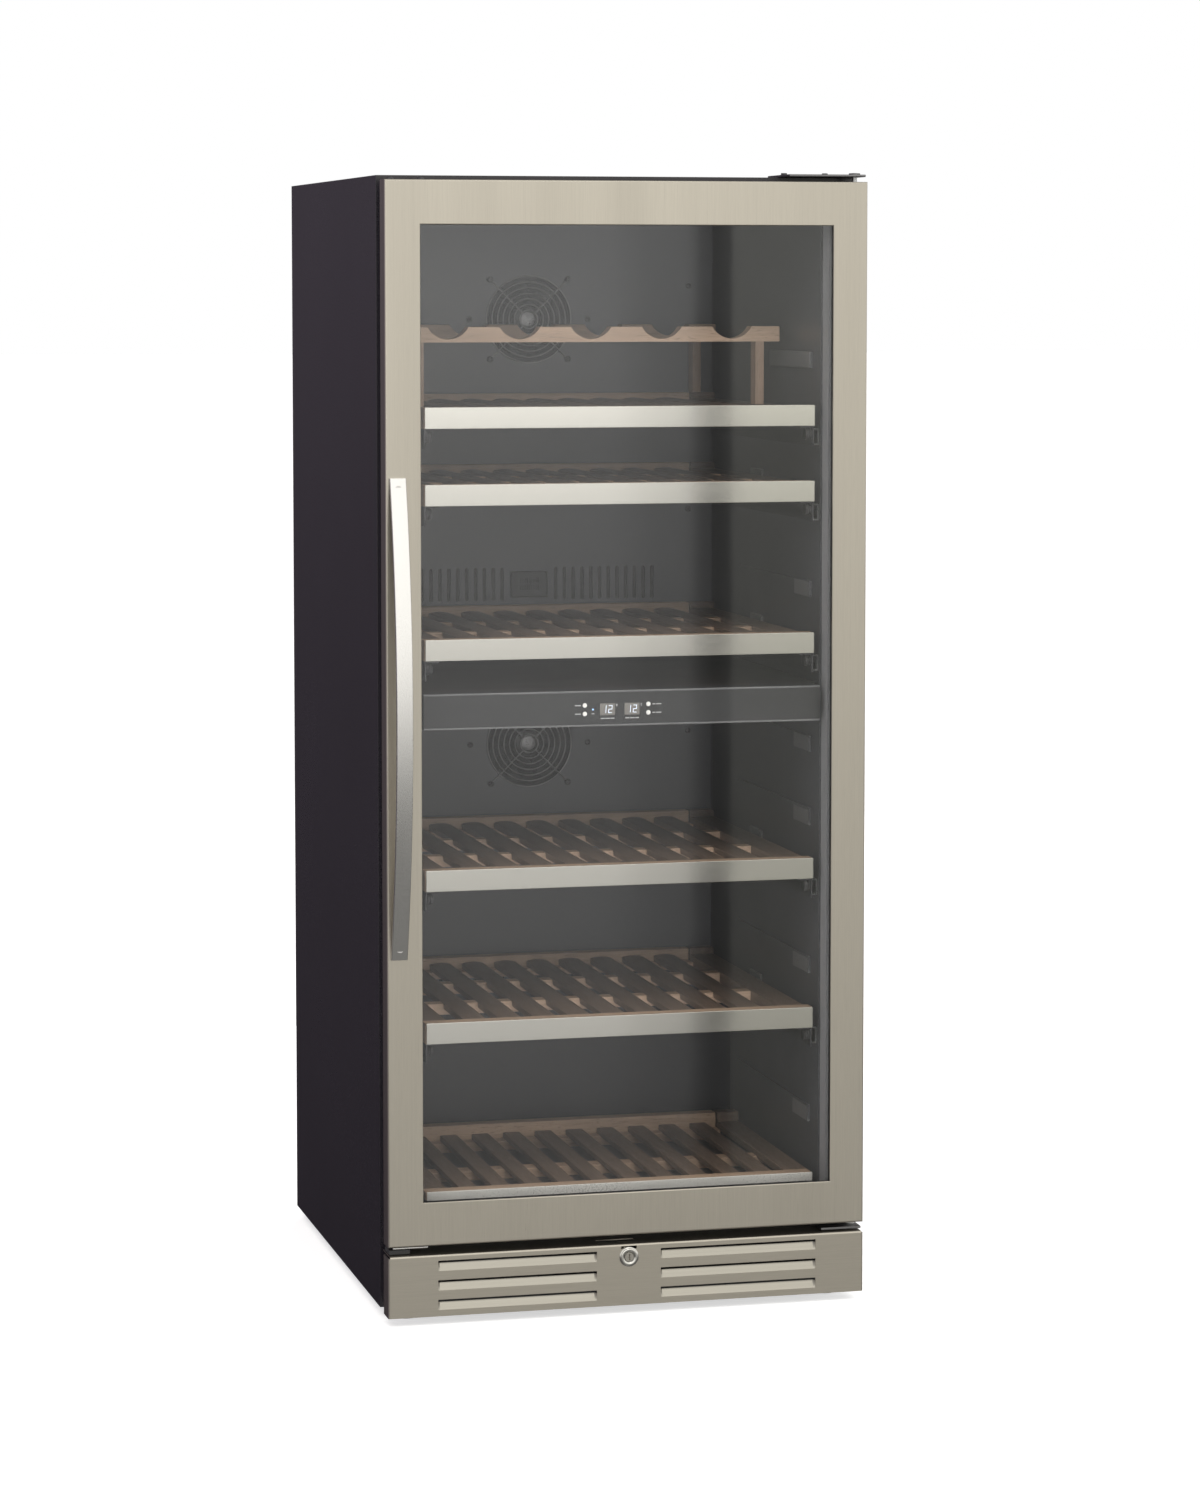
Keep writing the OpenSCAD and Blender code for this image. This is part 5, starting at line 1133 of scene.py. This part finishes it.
floorMesh = bpy.data.meshes.new("floor")
reach = 70  # half the sheet's width in metres
floorMesh.from_pydata([(-reach, -reach, 0), (reach, -reach, 0), (reach, reach, 0), (-reach, reach, 0)], [],
                      [(0, 1, 2, 3)])
floor = bpy.data.objects.new("floor", floorMesh)
floorLook = patterned("paleFloor", (0.84, 0.84, 0.84), (0.845, 0.845, 0.845), 0.8, grain=(4, 4, 4), cloud=0.2,
                      spread=0.01, bump=0.0,
                      **{"Specular IOR Level": 0.1, "Emission Color": (1.0, 1.0, 1.0, 1.0), "Emission Strength": 0.6})
floorMesh.materials.append(floorLook)
bpy.context.scene.collection.objects.link(floor)
floor.visible_glossy = False  # polished steel and glass mirror the studio, not the sheet of floor
floor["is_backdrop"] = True

world = bpy.data.worlds.new("studio")
bpy.context.scene.world = world
world.use_nodes = True
studio = world.node_tree
heading = addNode(studio, "ShaderNodeTexCoord").outputs["Generated"]
split = addNode(studio, "ShaderNodeSeparateXYZ", {"Vector": heading})
turnBack = addNode(studio, "ShaderNodeMath", {0: split.outputs["Y"], 1: -1.0}, operation="MULTIPLY")
azimuth = addNode(studio, "ShaderNodeMath", {0: split.outputs["X"], 1: turnBack.outputs[0]}, operation="ARCTAN2")
dayTint, duskTint, lampTint = (1.0, 0.99, 0.965), (1.0, 0.86, 1.08), (1.0, 0.99, 0.93)


def rampBetween(value, low, high, stops):
    # grey or tinted brightness against a value that runs from low to high; a stop is (value, brightness, tint)
    share = addNode(studio, "ShaderNodeMapRange", {"Value": value, "From Min": low, "From Max": high})
    node = addNode(studio, "ShaderNodeValToRGB", {"Fac": share.outputs["Result"]})
    elements = node.color_ramp.elements
    elements[0].position, elements[1].position = 0, 1
    for at, bright, tint in stops:
        place = (at - low) / (high - low)
        element = elements[0] if place < 1e-6 else elements[-1] if place > 1 - 1e-6 else elements.new(place)
        element.color = (*[bright * part for part in tint], 1)
    return node.outputs["Color"]


def sweepRamp(fromDegrees, toDegrees, stops):
    # brightness against compass angle, over this span of it; daylight where a stop names no tint
    full = [(math.radians(degrees), bright, *(tint or [dayTint])) for degrees, bright, *tint in stops]
    return rampBetween(azimuth.outputs[0], math.radians(fromDegrees), math.radians(toDegrees), full)


def worldProduct(first, second):
    return addNode(studio, "ShaderNodeMix", {0: 1.0, 6: first, 7: second}, data_type="RGBA",
                   blend_type="MULTIPLY").outputs[2]


room = sweepRamp(-180, 180, [(-180, 0.085, duskTint), (-148, 0.095, duskTint), (-115, 0.4, duskTint), (-60, 0.55),
                             (-20, 0.8), (4, 1.2), (12, 1.3),
                             (14.3, 1.25), (18, 1.0, lampTint), (40, 0.8), (120, 0.6), (180, 0.085)])
# the dark doorway that polished strips mirror, narrower than the wide ramp can hold
doorway = sweepRamp(10, 20, [(10, 1.0), (14.2, 1.0), (14.7, 0.86), (15.2, 0.84), (15.38, 0.5), (15.6, 0.3),
                             (15.78, 0.4), (15.86, 0.78, lampTint),
                             (17.4, 0.8, lampTint), (20, 1.0)])
# the room darkens below the horizon
climb = rampBetween(split.outputs["Z"], -0.5, 0.1, [(z, bright, (1, 1, 1)) for z, bright in (
    (-0.5, 0.2), (-0.34, 0.16), (-0.24, 0.3), (-0.2, 0.48), (-0.12, 0.62), (-0.05, 0.85), (0.0, 1.15), (0.1, 1.3))])
mirrorSky = worldProduct(worldProduct(room, doorway), climb)
seen = addNode(studio, "ShaderNodeLightPath").outputs["Is Camera Ray"]
shown = addNode(studio, "ShaderNodeMix", {0: seen, 6: mirrorSky, 7: (1, 1, 1)}, data_type="RGBA")
putSocket(studio, studio.nodes["Background"], "Color", shown.outputs[2])
putSocket(studio, studio.nodes["Background"], "Strength", 1.0)

aim = (0, 0, 0.7)
lamps = {"keyLight": ((-1.6, -3.0, 3.2), 2.4, 60, (1.0, 0.985, 0.96)),  # place, width, power and colour
         "fillLight": ((2.6, -2.2, 2.4), 2.2, 26, (0.97, 0.985, 1.0)),
         "rearLight": ((1.4, 3.6, 2.6), 2.2, 40, (1.0, 1.0, 1.0))}
for name, (place, size, power, colour) in lamps.items():
    data = bpy.data.lights.new(name, "AREA")
    data.shape, data.size, data.energy, data.color = "DISK", size, power, colour
    lamp = bpy.data.objects.new(name, data)
    lamp.location = place
    lamp.rotation_euler = (Vector(aim) - Vector(place)).to_track_quat("-Z", "Y").to_euler()
    bpy.context.scene.collection.objects.link(lamp)
    lamp.visible_glossy = False
bpy.context.scene.view_settings.view_transform = "Standard"
print("stage set")

low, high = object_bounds()
